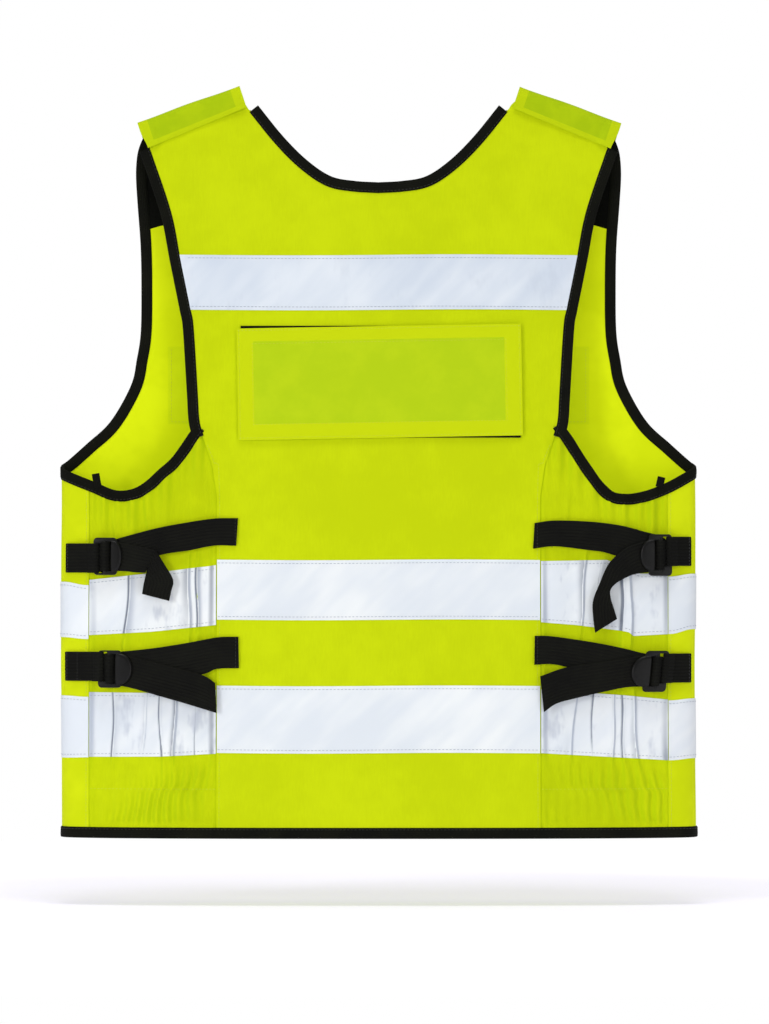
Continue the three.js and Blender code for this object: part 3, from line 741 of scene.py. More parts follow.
def surface_line(path, t, wave=relief, spacing=LINE_STEP):
    """A line on the vest with its outward directions, from girth and height points."""
    path = resample(path, spacing)
    return place(path[:, 0], path[:, 1], t, wave), normal(path[:, 0], path[:, 1])


# ---- Edges of the right half, in girth and height ----
def right(points, front=False, smoothed=True):
    line = smooth_line(points, 3.0) if smoothed else np.array(points, float)
    s = np.interp(np.clip(line[:, 0], 0, HALF_WIDTH), _x, _girth)
    return np.stack([2 * FOLD - s if front else s, line[:, 1]], -1)


def handed(path, side):
    return np.asarray(path) * np.array([side, 1])


def along_x(x, front=False):
    s = float(np.interp(abs(x), _x, _girth))
    return 2 * FOLD - s if front else s


back_arm = right([(154.5, 333), (157.5, 342), (159, 352), (160, 370), (163.5, 425), (166, 440), (174.5, 482),
                  (182, 520), (197, 565), (200.2, 573.5)])
UNDER_ARMS = {
    "left": right([(153, 345), (158, 338), (172, 318), (184, 307), (195, 297), (206, 291), (220, 290),
                   (236, 296.5), (250, 302), (262, 307)]),
    "right": right([(153, 347), (158, 340), (163, 333), (172, 318.5), (182, 304), (190, 294), (197, 288.5),
                    (208, 287), (221, 289), (233, 293), (244, 298), (254, 303.5), (262, 308)]),
}
front_arm = right([(262, 313.5), (245, 329), (225, 348), (208, 378), (203, 400), (199.6, 423),
                   (199, 460), (199.6, 495), (202, 529), (203.3, 550), (203.2, 562), (202, 573),
                    (199.5, 581), (196, 588.5)],
                  front=True)
AROUND_ARMS = {hand: resample(np.vstack([low, [[FOLD, 310.3]], front_arm]), 3.0)
               for hand, low in UNDER_ARMS.items()}
back_neck = right([(0, 547.8), (20, 549), (40, 553), (60, 566.5), (80, 586.5), (101, 612.5)])
front_neck = right([(1, 425.5), (24, 462), (52, 512), (80, 572), (99, 607)], front=True)
UNDER = 3.0  # cloth runs this far under its edge binding


# ---- Main cloth ----
arm_in = offset(back_arm, UNDER)
arm_in = arm_in[(arm_in[:, 1] < 568) & (arm_in[:, 1] > 337)]
neck_in = offset(back_neck, -UNDER)
seam_side = [(BACK_HALF, 3), (BACK_HALF, 285), (139, 312), (147, 335)]
back_half = np.vstack([[(0, 3)], right(seam_side, smoothed=False), arm_in,
                       [(along_x(189), shoulder_fold(189) - 8)],
                       [(along_x(113), shoulder_fold(113) - 4)], [(along_x(108), 608)],
                       neck_in[neck_in[:, 1] < 604][::-1]])
back_outline = np.vstack([back_half, handed(back_half[1:-1], -1)[::-1]])
back_cloth = cloth_panel("back_cloth", back_outline, yellow_cloth, 4.5)
pieces_on, cloths = {}, {}


def add(made, body="vest", nodes=()):
    if nodes:
        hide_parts(*([nodes] if isinstance(nodes, str) else nodes))
    pieces_on.setdefault(body, []).append(made)
    return made


add(back_cloth, "vest", "back_panel")


def tuck(s, z):
    """The side cloth goes under its neighbours at both edges."""
    x = np.interp(np.abs(s), _girth, _x)
    seam = np.interp(z, [285, 312, 335], [BACK_HALF, 139, 147])
    return -1.15 * (1 - step(seam, seam + 3.5, x)) - 1.15 * step(WRAP - 2.5, WRAP + 1, x)


blended = []
for hand, side in SIDES.items():
    top = offset(UNDER_ARMS[hand], -UNDER)
    top = top[top[:, 1] < 336]
    top = top[top[:, 0] < along_x(WRAP + 4)]
    outline = np.vstack([right([(131, 3), (WRAP + 4, 3)], smoothed=False), top[::-1],
                         right([(149, 337), (143, 335), (134.5, 313), (131, 284)], smoothed=False)])
    made = cloth_panel(f"side_cloth_{hand}", handed(outline, side), side_yellow, 2.6,
                       offset_of=tuck, columns=1.4)
    cloths["side", hand] = add(made, "vest", f"side_panel_{hand}")
    add(band(f"hem_elastic_strip_{hand}", side * along_x(140), side * along_x(236), flat_at(14), flat_at(38),
             elastic_black, 2.2, t=(-1.6, -0.5)), "vest", f"hem_elastic_{hand}")

    # the front, from its edge on the back round the side to the zip
    arm = offset(AROUND_ARMS[hand], -UNDER)
    yoke_arm = arm[(arm[:, 1] > YOKE) & (arm[:, 0] > FOLD)]
    neck = offset(front_neck, UNDER)
    arm = arm[(arm[:, 0] > along_x(WRAP)) & ((arm[:, 1] < YOKE - 3) | (arm[:, 0] < FOLD))]
    centre = along_x(12.5, True)
    low_neck = neck[(neck[:, 1] < YOKE) & (neck[:, 0] < centre)]
    outline = np.vstack([[(along_x(WRAP), 3), (centre, 3), (centre, low_neck[0, 1] - 2)], low_neck,
                         [(low_neck[-1, 0] - 1, YOKE)], [(along_x(180, True), YOKE + 2)],
                         [(arm[-1, 0], YOKE - 3)], arm[::-1]])
    made = cloth_panel(f"front_cloth_{hand}", handed(outline, side), inside_yellow, 4.5)
    cloths["front", hand] = made
    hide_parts(f"front_side_{hand}", f"front_leaf_{hand}")
    high_neck = neck[(neck[:, 1] > YOKE - 4) & (neck[:, 1] < 600)]
    yoke_arm = yoke_arm[yoke_arm[:, 1] < 584]
    outline = np.vstack([high_neck, [(along_x(118, True), shoulder_fold(118) - 6)],
                         [(along_x(196, True), shoulder_fold(196) - 2)], yoke_arm[::-1],
                         [(yoke_arm[0, 0], YOKE - 7)]])
    made = cloth_panel(f"yoke_cloth_{hand}", handed(outline, side), yoke_black, 4.5, inner=0.15,
                       outer=1.3)
    cloths["yoke", hand] = made
    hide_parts(f"front_yoke_{hand}")
    blended += [(cloths["front", hand], hand), (cloths["yoke", hand], hand)]

# ---- Reflective bands ----
def limits(*pairs):
    """A height that follows the distance from the centre, from pairs of (distance, height)."""
    x, z = zip(*pairs)
    return lambda s: np.interp(off_centre(s), x, z)


def past_fold(near, at_wrap, rest):
    """A height that eases from the edge on the back to the front's own height."""
    return lambda s: near + (at_wrap - near) * step(along_x(244), along_x(262), np.abs(s)) \
        + (rest - at_wrap) * step(FOLD, FOLD + 40, np.abs(s))


stitch_lines = {"grey": [], "yellow": [], "black": []}


def edge_stitches(s0, s1, low, high):
    """Rows of grey thread just inside a tape's two edges."""
    s = np.arange(min(s0, s1) + 1.5, max(s0, s1) - 1.5, LINE_STEP)
    for z, inset in ((low(s), 2.7), (high(s), -2.7)):
        stitch_lines["grey"].append((place(s, z + inset, TAPE_OUT + 0.1), normal(s, z)))


def level(value):
    return lambda s: np.full(np.shape(s), float(value)) + 0.35 * np.sin(np.asarray(s) / 37)


# the gathered side tapes get strong painted crumple shade, the chest tape a little
silver, crumpled = tape_silver(), tape_silver("reflective_tape_gathered", 0.45)
chest_silver = tape_silver("reflective_tape_chest", 0.12, (227, 234, 241), (208, 218, 230))
for node, (low, high) in BACK_BANDS.items():
    end = along_x(BACK_HALF - 0.3)
    add(band(node + "_tape", -end, end, level(low), level(high), silver, 4), "vest", node)
    edge_stitches(-end, end, level(low), level(high))

# the chest band ends along the armholes
low, high = CHEST_BAND
arm_line = offset(back_arm, 6)
heights = np.linspace(low, high, BAND_ROWS)
ss = np.linspace(-1, 1, 90)[:, None] * np.interp(heights, arm_line[:, 1], arm_line[:, 0])
zz = heights + 0.4 * np.sin(ss / 44)
add(slab_grid("back_chest_tape", place(ss, zz, TAPE_OUT), place(ss, zz, TAPE_IN), chest_silver,
              np.stack([ss, zz], -1)), "vest", "back_chest_band")
edge_stitches(-float(ss[-1, 0]), float(ss[-1, 0]), level(low), level(high))

SIDE_BANDS = {
    "left": [(limits((136, 70.5), (182, 68), (244, 67.5)), limits((136, 123.5), (190, 121), (244, 121.5))),
             (limits((136, 177.7), (190, 172), (244, 169)), limits((136, 227.5), (190, 221), (244, 215)))],
    "right": [(limits((136, 71), (205, 67), (244, 64.5)), limits((136, 124), (205, 119), (244, 115))),
              (limits((136, 180), (165, 177.7), (202, 173), (209, 171.5), (213, 168.5), (244, 170)),
               limits((136, 231), (191, 232), (208, 226), (219, 220.5), (244, 220.5)))],
}
FRONT_BANDS = {
    "left": [(past_fold(67, 66.5, 66), past_fold(117.5, 118.5, 118)),
             (past_fold(165.8, 167.3, 166), past_fold(210.8, 213.6, 213))],
    "right": [(past_fold(64.5, 66, 66), past_fold(114.5, 116, 118)),
              (past_fold(170, 174, 166), past_fold(218, 220.3, 213))],
}
for hand, side in SIDES.items():
    for i, place_name in enumerate(("hem", "waist")):
        low, high = SIDE_BANDS[hand][i]
        s0, s1 = side * along_x(BACK_HALF + 0.6), side * along_x(WRAP - 0.4)
        add(band(f"side_{place_name}_tape_{hand}", s0, s1, low, high, crumpled, 1.0, t=(TAPE_IN, TAPE_OUT)),
            "vest", f"side_{place_name}_band_{hand}")
        edge_stitches(s0, s1, low, high)
        low, high = FRONT_BANDS[hand][i]
        s0, s1 = side * along_x(WRAP + 0.2), side * along_x(18.6, True)
        made = band(f"front_{place_name}_tape_{hand}", s0, s1, low, high, silver, 4)
        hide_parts(f"front_{place_name}_band_{hand}", f"leaf_{place_name}_band_{hand}")
        blended.append((made, hand))
        edge_stitches(s0, side * (2 * FOLD - along_x(140)), low, high)

# ---- Edge bindings ----
neck_path = np.vstack([handed(back_neck[1:], -1)[::-1], back_neck])
add(binding("neck_tape", neck_path, -1), "vest", "back_neck_binding")
hem_end = along_x(130.3, True)
add(binding("hem_tape", [(-hem_end, 0), (hem_end, 0)], 1), "vest", "hem_binding")
for hand, side in SIDES.items():
    add(binding(f"back_arm_tape_{hand}", handed(back_arm, side), side), "vest",
        f"back_arm_binding_{hand}")
    add(binding(f"front_arm_tape_{hand}", handed(AROUND_ARMS[hand], side), -side), "vest",
        f"front_arm_binding_{hand}")
    end_top = 303.5 if side < 0 else 300.5
    end_path = handed([(along_x(237.5), 292), (along_x(239.5), end_top)], side)
    add(binding(f"binding_end_{hand}", end_path, side, [(d * 0.7, t * 0.6 + 1.5) for d, t in BINDING]),
        "vest")
    lowest, zip_edge = front_neck[0, 1], along_x(9.1, True)
    parts = [binding("a", handed(front_neck, side), side),
             binding("b", handed([(zip_edge, 0), (zip_edge, lowest + 6)], side), side),
             binding("c", handed([(hem_end + 0.6, 0), (zip_edge, 0)], side), side)]
    add(joined(f"leaf_tape_{hand}", parts), f"leaf_{hand}", f"leaf_binding_{hand}")
    stitch_lines["black"] += [surface_line(handed(offset(back_arm, 7.4), side), 2.1),
                              surface_line(handed(offset(AROUND_ARMS[hand], -7.4), side), 2.1)]
stitch_lines["black"] += [surface_line(offset(neck_path, -7.4), 2.1),
                          surface_line(np.array([(-hem_end, 7.4), (hem_end, 7.4)]), 2.1)]

# ---- Seam stitches on the cloth ----
for hand, side in SIDES.items():
    seam = right([(BACK_HALF - 2.2, 10), (BACK_HALF - 2.2, 285), (137, 312), (144, 330)])
    stitch_lines["yellow"].append(surface_line(handed(seam, side), 1.1))
    edge = [(along_x(WRAP + 2.2), 10), (along_x(WRAP + 2.2), 292)]
    stitch_lines["yellow"].append(surface_line(handed(edge, side), 1.1))
    channel = [(along_x(137), 41), (along_x(240), 41)]
    stitch_lines["yellow"].append(surface_line(handed(channel, side), 1.1))
    yoke_seam = [(along_x(68, True), YOKE + 3), (along_x(180, True), YOKE + 4.5), (along_x(196, True), YOKE)]
    stitch_lines["black"].append(surface_line(handed(yoke_seam, side), 1.4))
stitches = {"grey": grey_thread, "yellow": yellow_thread, "black": black_thread}
for color, thread in stitches.items():
    add(repeats(f"stitches_{color}", stitch_lines[color], thread, 3.1, 2.3, 0.5, 0.35))


# ---- Webbing straps ----
WEB_RIBS = 9
WEB_POINTS = 4 * WEB_RIBS + 1


def webbing_strip(name, first, second, heights, side, thick=1.3):
    """A strap between two rails of (distance from centre, height); heights are (share, offset) pairs."""
    first, second = smooth_line(first, 1.0), smooth_line(second, 1.0)
    shorter = min(len(first), len(second))
    length = float(along_path((first[:shorter] + second[:shorter]) / 2)[-1])
    share = np.linspace(0, 1, max(6, int(length / 1.6)))

    def pick(rail):
        at = np.linspace(0, 1, len(rail))
        return np.stack([np.interp(share, at, rail[:, 0]), np.interp(share, at, rail[:, 1])], -1)

    a, b = pick(first), pick(second)
    across = np.linspace(0, 1, WEB_POINTS)
    flat = a[:, None, :] + (b - a)[:, None, :] * across[None, :, None]
    s = side * np.interp(flat[..., 0], _x, _girth)
    at, t = zip(*heights)
    lifted = np.interp(share, at, t)[:, None]
    rounding = 0.45 * np.clip(np.abs(across - 0.5) * 2 - 0.9, 0, 1) / 0.1
    rib = 0.16 * np.cos(across * WEB_RIBS * 2 * np.pi + np.pi) - rounding
    outer = place(s, flat[..., 1], lifted + thick + rib, slack)
    inner = place(s, flat[..., 1], lifted + rounding * 0.6, slack)
    width = np.hypot(*(b - a).T)[:, None] * across[None, :]
    uv = np.stack([width, np.repeat((share * length)[:, None], WEB_POINTS, 1)], -1)
    return slab_grid(name, outer, inner, webbing_black, uv)


STRAPS = {
    "upper_left": dict(
        main=([(117.2, 266.8), (137, 266.4), (161.5, 262.8), (187.2, 257.8), (218.9, 249.3), (229, 246.5)],
              [(118.7, 243.8), (137, 243.8), (159, 239.5), (182.3, 235.8), (219, 224), (229, 221)]),
        tails=[([(226, 247), (213, 246), (198, 243), (186, 240)],
                [(226, 222), (213, 222.5), (203, 221.5), (194, 221)], [(0, 4.9), (1, 5.2)]),
               ([(185.5, 240.3), (178, 228), (170.8, 215), (172.5, 206), (174.3, 197.6)],
                [(194, 220.8), (192.5, 226), (193.6, 220), (195.5, 212), (196.9, 203.4)],
                [(0, 6.4), (0.35, 5.6), (1, 4.6)])]),
    "lower_left": dict(
        main=([(116.8, 167.9), (134.6, 167.3), (160.3, 162.5), (187.2, 158.3), (209.8, 155.8), (224, 154.5)],
              [(116.3, 141.7), (134.6, 141), (147.4, 136.2), (180, 131), (209, 127), (224, 126.5)]),
        tails=[([(222, 153.5), (209, 152), (180, 145), (147.4, 136.2), (135.8, 129.4)],
                [(222, 127), (209.2, 125.8), (182.3, 118.4), (159, 111.7), (134.6, 104.3)],
                [(0, 5.0), (0.5, 5.0), (1, 5.6)])]),
    "upper_right": dict(
        main=([(130.2, 262.7), (147.3, 264.8), (179.1, 263.6), (203.5, 260.3), (221.8, 255.4), (234, 252.3)],
              [(128.9, 241.3), (147.3, 243.2), (174.2, 240.1), (190.1, 237.7), (216, 229), (234, 224)]),
        tails=[([(234, 251), (222, 247.5), (208, 243), (198, 235.5), (190.5, 227), (183.9, 212),
                 (178.4, 197.3), (178.6, 184), (180.2, 171)],
                [(234, 222), (221, 221), (212, 219.5), (204, 216), (197.4, 212), (193, 206.5),
                 (193.5, 199), (196, 191), (198.6, 182.6)],
                [(0, 5.0), (0.3, 5.4), (0.6, 5.6), (1, 4.8)])]),
    "lower_right": dict(
        main=([(130.2, 168.6), (144.8, 168.2), (179.1, 163.1), (203.5, 158.2), (218.2, 154.5), (230, 152)],
              [(129.8, 144.5), (143.6, 145), (157.1, 142.5), (190, 134), (218, 127), (230, 125)]),
        tails=[([(230, 153), (218, 152), (190, 147.5), (157.1, 142.5), (134.4, 134.9)],
                [(230, 126), (208.4, 125.8), (191.3, 122.7), (166.8, 117.2), (148.5, 112.3), (137.5, 105)],
                [(0, 5.0), (0.5, 5.0), (1, 5.4)])]),
}
# Each buckle: its outer bar from the centre, its height, how far its thumb tab reaches, half its own
# height, and how far it leans outwards at the top.
BUCKLES = {"upper_left": (237, 235, 24, 15.6, 0.0), "lower_left": (233, 141, 29, 15.6, 0.0),
           "upper_right": (244, 236, 27, 17.4, 0.0), "lower_right": (240, 139, 31, 17.2, 0.1)}


def rounded(x0, x1, z0, z1, r):
    """A rectangle's outline with rounded corners."""
    made = []
    for cx, cz, start in ((x1 - r, z1 - r, 0), (x0 + r, z1 - r, 90), (x0 + r, z0 + r, 180),
                          (x1 - r, z0 + r, 270)):
        for a in np.linspace(start, start + 90, 6):
            made.append((cx + r * math.cos(math.radians(a)), cz + r * math.sin(math.radians(a))))
    return made


def moulding(name, outlines, thickness, bevel):
    """A flat moulding from closed outlines (the first is its edge, the rest are holes), in millimetres."""
    curve = bpy.data.curves.new(name, "CURVE")
    curve.dimensions, curve.fill_mode = "2D", "BOTH"
    curve.extrude, curve.bevel_depth, curve.bevel_resolution = thickness / 2 - bevel, bevel, 3
    curve.offset = -bevel
    for outline in outlines:
        spline = curve.splines.new("POLY")
        spline.points.add(len(outline) - 1)
        for point, (x, z) in zip(spline.points, outline):
            point.co = (x, z, 0, 1)
        spline.use_cyclic_u = True
    holder = bpy.data.objects.new(name, curve)
    scene.collection.objects.link(holder)
    bpy.context.view_layer.update()
    mesh = bpy.data.meshes.new_from_object(holder.evaluated_get(bpy.context.evaluated_depsgraph_get()))
    bpy.data.objects.remove(holder)
    co = np.array([v.co for v in mesh.vertices])
    faces = [tuple(p.vertices) for p in mesh.polygons]
    bpy.data.meshes.remove(mesh)
    return np.stack([co[:, 0], co[:, 2] + thickness / 2, co[:, 1]], -1), faces


def buckle_frame(side, x_at, z_at, lean):
    """Where a buckle lies: its origin, direction to the centre, outward direction and lean."""
    here = base(along_x(x_at), z_at)
    there = base(along_x(x_at - 24), z_at)
    along = there - here
    along[2] = 0
    along /= np.linalg.norm(along)
    out = np.array([-along[1], along[0], 0])
    origin = here + out * 5.3
    flip = np.array([side, 1, 1])
    return origin * flip, along * flip, out * flip, lean


def in_frame(points, where):
    origin, along, out, lean = where
    p = np.asarray(points, float)
    up = np.array([0, 0, 1.0]) - lean * along
    return origin + p[:, :1] * along + p[:, 1:2] * out + p[:, 2:3] * up


def make_buckle(name, side, x_at, z_at, reach, half, lean, raised):
    where = buckle_frame(side, x_at, z_at, lean)
    depth = 20.0
    outer = rounded(0, depth, -half, half, 3.2)
    window_a = rounded(3.0, 8.0, raised - 12.4, raised + 12.4, 1.0)
    window_b = rounded(11.0, 16.6, -12.4, 12.4, 1.0)
    points, faces = moulding(name + "_a", [outer, window_a, window_b], 3.0, 0.7)
    # the thumb tab: a smooth crowned D on the inner side
    sections = []
    angles = np.linspace(-math.pi / 2, math.pi / 2, 19)
    for y, grow in ((0.6, -0.9), (1.1, -0.1), (2.0, 0.0), (2.9, -0.4), (3.5, -1.3), (3.8, -3.2)):
        edge = [(15.4 + (reach - 15.4 + grow) * max(0.0, math.cos(a)) ** 0.8, y, (13.4 + grow) * math.sin(a))
                for a in angles]
        edge += [(15.2, y, (13.4 + grow) * q) for q in np.linspace(0.9, -0.9, 7)]
        sections.append(edge)
    tab_points, tab_faces = loft(sections)
    # raised cross bar
    bar_points, bar_faces = loft([[(9.5 + 1.7 * math.cos(a), 2.6 + 1.0 * math.sin(a), z)
                                   for a in np.linspace(0, 2 * math.pi, 12, endpoint=False)]
                                  for z in np.linspace(-half + 3, half - 3, 15)])
    made = []
    for p, f in ((points, faces), (tab_points, tab_faces), (bar_points, bar_faces)):
        made.append(outward(make("buckle_part", in_frame(p, where), f, buckle_black, None, 35), 0.00001))
    return joined(name, made), where


def looped_webbing(name, where, profile, half_width, raised=0.0):
    """A short length of webbing that follows a profile of (towards centre, outward) points."""
    p = smooth_line(profile, 0.7)
    half_thick = 0.55
    across = np.linspace(-1, 1, WEB_POINTS)
    rib = 0.14 * np.cos((across + 1) / 2 * WEB_RIBS * 2 * np.pi + np.pi)
    top = p[:, None, :] + leftward(p)[:, None, :] * (half_thick + rib)[None, :, None]
    low = p[:, None, :] - leftward(p)[:, None, :] * (half_thick + 0 * rib)[None, :, None]
    z = np.repeat((across * half_width + raised)[None, :], len(p), 0)
    shape = z.shape + (3,)

    def lay(grid):
        return in_frame(np.concatenate([grid, z[..., None]], -1).reshape(-1, 3), where).reshape(shape)

    uv = np.stack(np.broadcast_arrays((across * half_width)[None, :], along_path(p)[:, None]), -1)
    return slab_grid(name, lay(top), lay(low), webbing_black, uv)


# The height of each anchor's middle.
ANCHORS = {"upper_left": 233.5, "lower_left": 143, "upper_right": 239, "lower_right": 141.5}
strap_stitches = []
for name, strap in STRAPS.items():
    side = -1 if name.endswith("left") else 1
    x_at, z_at, reach, half, lean = BUCKLES[name]
    first, second = strap["main"]
    first, second = list(first) + [(x_at - 3, z_at + 12)], list(second) + [(x_at - 3, z_at - 12)]
    parts = [webbing_strip("main", first, second, [(0, 1.8), (0.2, 3.0), (0.8, 3.5), (1, 3.4)], side)]
    for a, b, heights in strap["tails"]:
        parts.append(webbing_strip("tail", a, b, heights, side))
    buckle, where = make_buckle(f"ladder_buckle_{name}", side, x_at, z_at, reach, half, lean,
                                ANCHORS[name] - z_at)
    add(buckle, f"buckle_{name}", f"buckle_{name}")
    # the webbing comes up behind the tab, over the bar and back
    parts.append(looped_webbing("turn", where, [(19.5, -1.2), (14.5, -0.6), (12.4, 2.2), (9.6, 4.4),
                                                (6.9, 2.6), (5.2, -0.4), (7.0, -1.7), (14, -1.9)], 12.2))
    add(joined(f"strap_webbing_{name}", parts), "vest", f"strap_{name}")
    sewn = ANCHORS[name]
    z0, z1 = sewn - 12.2, sewn + 12.2
    anchor = [webbing_strip("anchor", [(260.2, z1), (250, z1), (x_at + 1.5, z1)],
                            [(260.2, z0), (250, z0), (x_at + 1.5, z0)],
                            [(0, 1.9), (0.6, 2.9), (1, 4.4)], side, 1.6)]
    anchor.append(looped_webbing("anchor_turn", where, [(-5.5, -1.2), (-2.4, 1.4), (1.2, 3.5), (4.3, 1.6),
                                                        (2.2, -0.9), (-3.6, -1.9)], 12.3,
                                 raised=sewn - z_at))
    add(joined(f"anchor_webbing_{name}", anchor), "vest", f"strap_anchor_{name}")
    # a sewn box at the strap's end, and rows across its anchor
    for x in (first[0][0] + (first[1][0] - first[0][0]) * 0.9 - 1, first[0][0] + 2.2):
        line = np.array([(x, second[0][1] + 1.5), (x, first[0][1] - 1.5)])
        line[:, 0] = np.interp(line[:, 0], _x, _girth) * side
        strap_stitches.append(surface_line(line, 3.6, slack))
    for x in (258.5, 250.5):
        line = np.array([(along_x(x) * side, z0 + 1.5), (along_x(x) * side, z1 - 1.5)])
        strap_stitches.append(surface_line(line, 4.1, slack))
add(repeats("stitches_strap", strap_stitches, black_thread, 2.6, 2.0, 0.5, 0.4))

# ---- Shoulder straps with their flaps and hook patches ----
STRAP_X = 160  # the strap's middle from the centre
tab_cloth = inset_cloth(
    woven("shoulder_cloth", linear(200, 220, 10), linear(190, 210, 10), 0.78), (8.5, 82.5), (-40, 22.3), 0.3,
    linear(184, 203, 10), (linear(158, 186, 10), linear(168, 193, 12)), 60)
slope = math.atan(FALL)
lean, face = (HEM_DEPTH - TOP_DEPTH) / SHOULDER, 6.2
# the section: up the back, over the fold, down the front; y outwards to the front, z up
section = smooth_line([(-face - lean * 16, -16), (-face - lean * 10, -10), (-face, -3), (-face + 1.4, 4.0),
                       (-2.5, 6.2), (3.0, 6.4), (face + 1.2, 4.4), (face + 2.9, -2),
                       (face + 2.9 + lean * 25, -25), (face + 2.9 + lean * 55, -55)], 1.5)
out, along = leftward(section), along_path(section)
top_at = along[np.argmax(section[:, 1])]
depth, rise, out_y, out_z, at = (column[:, None] for column in (*section.T, *out.T, along))
on_front = depth > 0
sewn_edge = step(0, -16, rise)
for hand, side in SIDES.items():
    turn = np.array(Matrix.Rotation(side * slope, 3, "Y"))
    seat = np.array([side * STRAP_X, 0, float(shoulder_fold(STRAP_X))])

    def seated(x, y, z):
        return seat + np.stack(np.broadcast_arrays(x * side, y, z), -1) @ turn.T

    # the flap's inner end is upright, along the fold line of the front
    inner_end, outer_end = (-49, 42) if side < 0 else (-47, 43.5)
    upright = (-42 + np.maximum(0, -rise) * math.sin(slope)) / math.cos(slope)
    low = np.where(on_front, np.maximum(inner_end, upright), float(inner_end))
    low += (inner_end - low) * step(6, -3, depth) * on_front
    local_x = low + (outer_end - low) * np.linspace(0, 1, 46)
    crown = 0.35 * np.sin(local_x / 11 + at / 14) * np.exp(-((at - top_at) / 30) ** 2)
    thick = np.interp(at, [0, 1.5, 3], [0.5, 0.9, 1.1]) + crown

    # the back leg lies on the back cloth, and over the end of its binding
    world_x = STRAP_X + local_x * math.cos(slope) + rise * math.sin(slope)
    world_z = np.minimum(shoulder_fold(world_x) - 3, shoulder_fold(STRAP_X) + rise)
    under_leg = half_depth(world_x, world_z) + 1.15 + 1.5 * step(outer_end - 13, outer_end - 9, local_x)
    snug = 1 + (under_leg / face - 1) * step(3, -3, depth)
    inward = (outer_end - local_x) / (outer_end - inner_end)
    local_x = local_x - 2.0 * (1 - inward) * sewn_edge * ~on_front
    raised = inward * (2.4 + 4.2 * sewn_edge * step(0, -3, depth))
    outer, inner = (seated(local_x, depth * snug + out_y * grow, rise + out_z * grow + raised)
                    for grow in (thick, 0.0))
    uv = np.stack(np.broadcast_arrays(local_x - inner_end, top_at - at), -1)
    made = slab_grid(f"shoulder_tab_{hand}", outer, inner, tab_cloth, uv)
    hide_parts(f"shoulder_strap_{hand}", f"shoulder_flap_{hand}")
    cloths["tab", hand] = made

    def strap_line(x, path):
        y, z, over_y, over_z = (np.interp(path, along, column) for column in (*section.T, *out.T))
        away = np.stack([0 * x, over_y, over_z], -1) @ turn.T
        return seated(x, y + over_y * 1.15, z + over_z * 1.15), away

    xs = np.arange(-43, 43.1, 2)
    front_low = np.interp(-50, section[section[:, 0] > 0, 1][::-1], along[section[:, 0] > 0][::-1])
    rows = [strap_line(xs[xs > -24], np.full(int((xs > -24).sum()), front_low))]
    down = np.arange(top_at + 14, front_low, 2)
    rows.append(strap_line(np.full(len(down), 42.0), down))
    add(repeats(f"tab_stitches_{hand}", rows, yellow_thread, 3.0, 2.2, 0.45, 0.3), f"flap_{hand}")

    # hook patch under the flap
    z = np.linspace(-18, -51, 16)[:, None]
    inner_x = np.maximum(-38, (-36 + np.abs(z) * math.sin(slope)) / math.cos(slope))
    x = inner_x + (38 - inner_x) * np.linspace(0, 1, 24)
    under, over = (seated(x, face + 0.9 - lean * z + grow, z) for grow in (0.0, 1.1))
    made = slab_grid(f"hook_tape_{hand}", over, under, hook_black, np.stack(np.broadcast_arrays(x, z), -1))
    add(made, f"flap_{hand}", f"flap_hook_patch_{hand}")

# ---- Identification panel on its loop field ----
def turned(u, v, size, middle, turn):
    """Girth and height of points on a turned rectangle, from its lower corner."""
    a, b = u - size[0] / 2, v - size[1] / 2
    return (girth(middle[0] + a * math.cos(turn) - b * math.sin(turn)),
            middle[1] + a * math.sin(turn) + b * math.cos(turn))


def rectangle(name, size, middle, turn, t_in, t_out, material, grid, rise=lambda u, v: 0):
    u, v = np.meshgrid(np.linspace(0, size[0], grid[0]), np.linspace(0, size[1], grid[1]), indexing="ij")
    s, z = turned(u, v, size, middle, turn)
    return slab_grid(name, place(s, z, t_out + rise(u, v), slack), place(s, z, t_in, slack), material,
                     np.stack([u, v], -1))


add(rectangle("loop_field", (234, 93.5), (1.7, 380.8), 0, 1.05, 2.0, hook_black, (50, 22)),
    "vest", "id_loop_field")
PANEL, PANEL_AT, PANEL_TURN = (237.6, 93.4), (1, 380.5), math.radians(1)
panel_cloth = inset_cloth(
    woven("id_panel_cloth", linear(196, 218, 12), linear(188, 211, 14), 0.75, 0.1), (13.6, 223.4),
    (13.2, 82.4), 0.4, linear(197, 213, 9), (linear(176, 204, 20), linear(184, 209, 22)), 40)


def panel_rise(u, v):
    """The folded border stands a little proud of the field, and the corners lift slightly."""
    edge = np.minimum(np.minimum(u, PANEL[0] - u), np.minimum(v, PANEL[1] - v))
    border = 0.35 * step(13.4, 12.2, edge)
    ripple = 0.25 * np.sin(u / 23) * np.sin(v / 17 + 1) + 0.3 * np.exp(-(v / 9) ** 2) * np.sin(u / 15)
    return border + ripple


panel = rectangle("id_sign_panel", PANEL, PANEL_AT, PANEL_TURN, 2.3, 3.3, panel_cloth, (100, 44),
                  panel_rise)
add(panel, "id_panel", "id_panel")
panel_lines = []
for inset in (1.8, 12.9):
    corners = [(inset, inset), (PANEL[0] - inset, inset), (PANEL[0] - inset, PANEL[1] - inset),
               (inset, PANEL[1] - inset)]
    for p, q in zip(corners, corners[1:] + corners[:1]):
        u, v = resample([p, q], LINE_STEP).T
        s, z = turned(u, v, PANEL, PANEL_AT, PANEL_TURN)
        panel_lines.append((place(s, z, 3.35 + panel_rise(u, v), slack), normal(s, z)))
add(repeats("panel_stitches", panel_lines, yellow_thread, 3.0, 2.1, 0.4, 0.3), "id_panel")

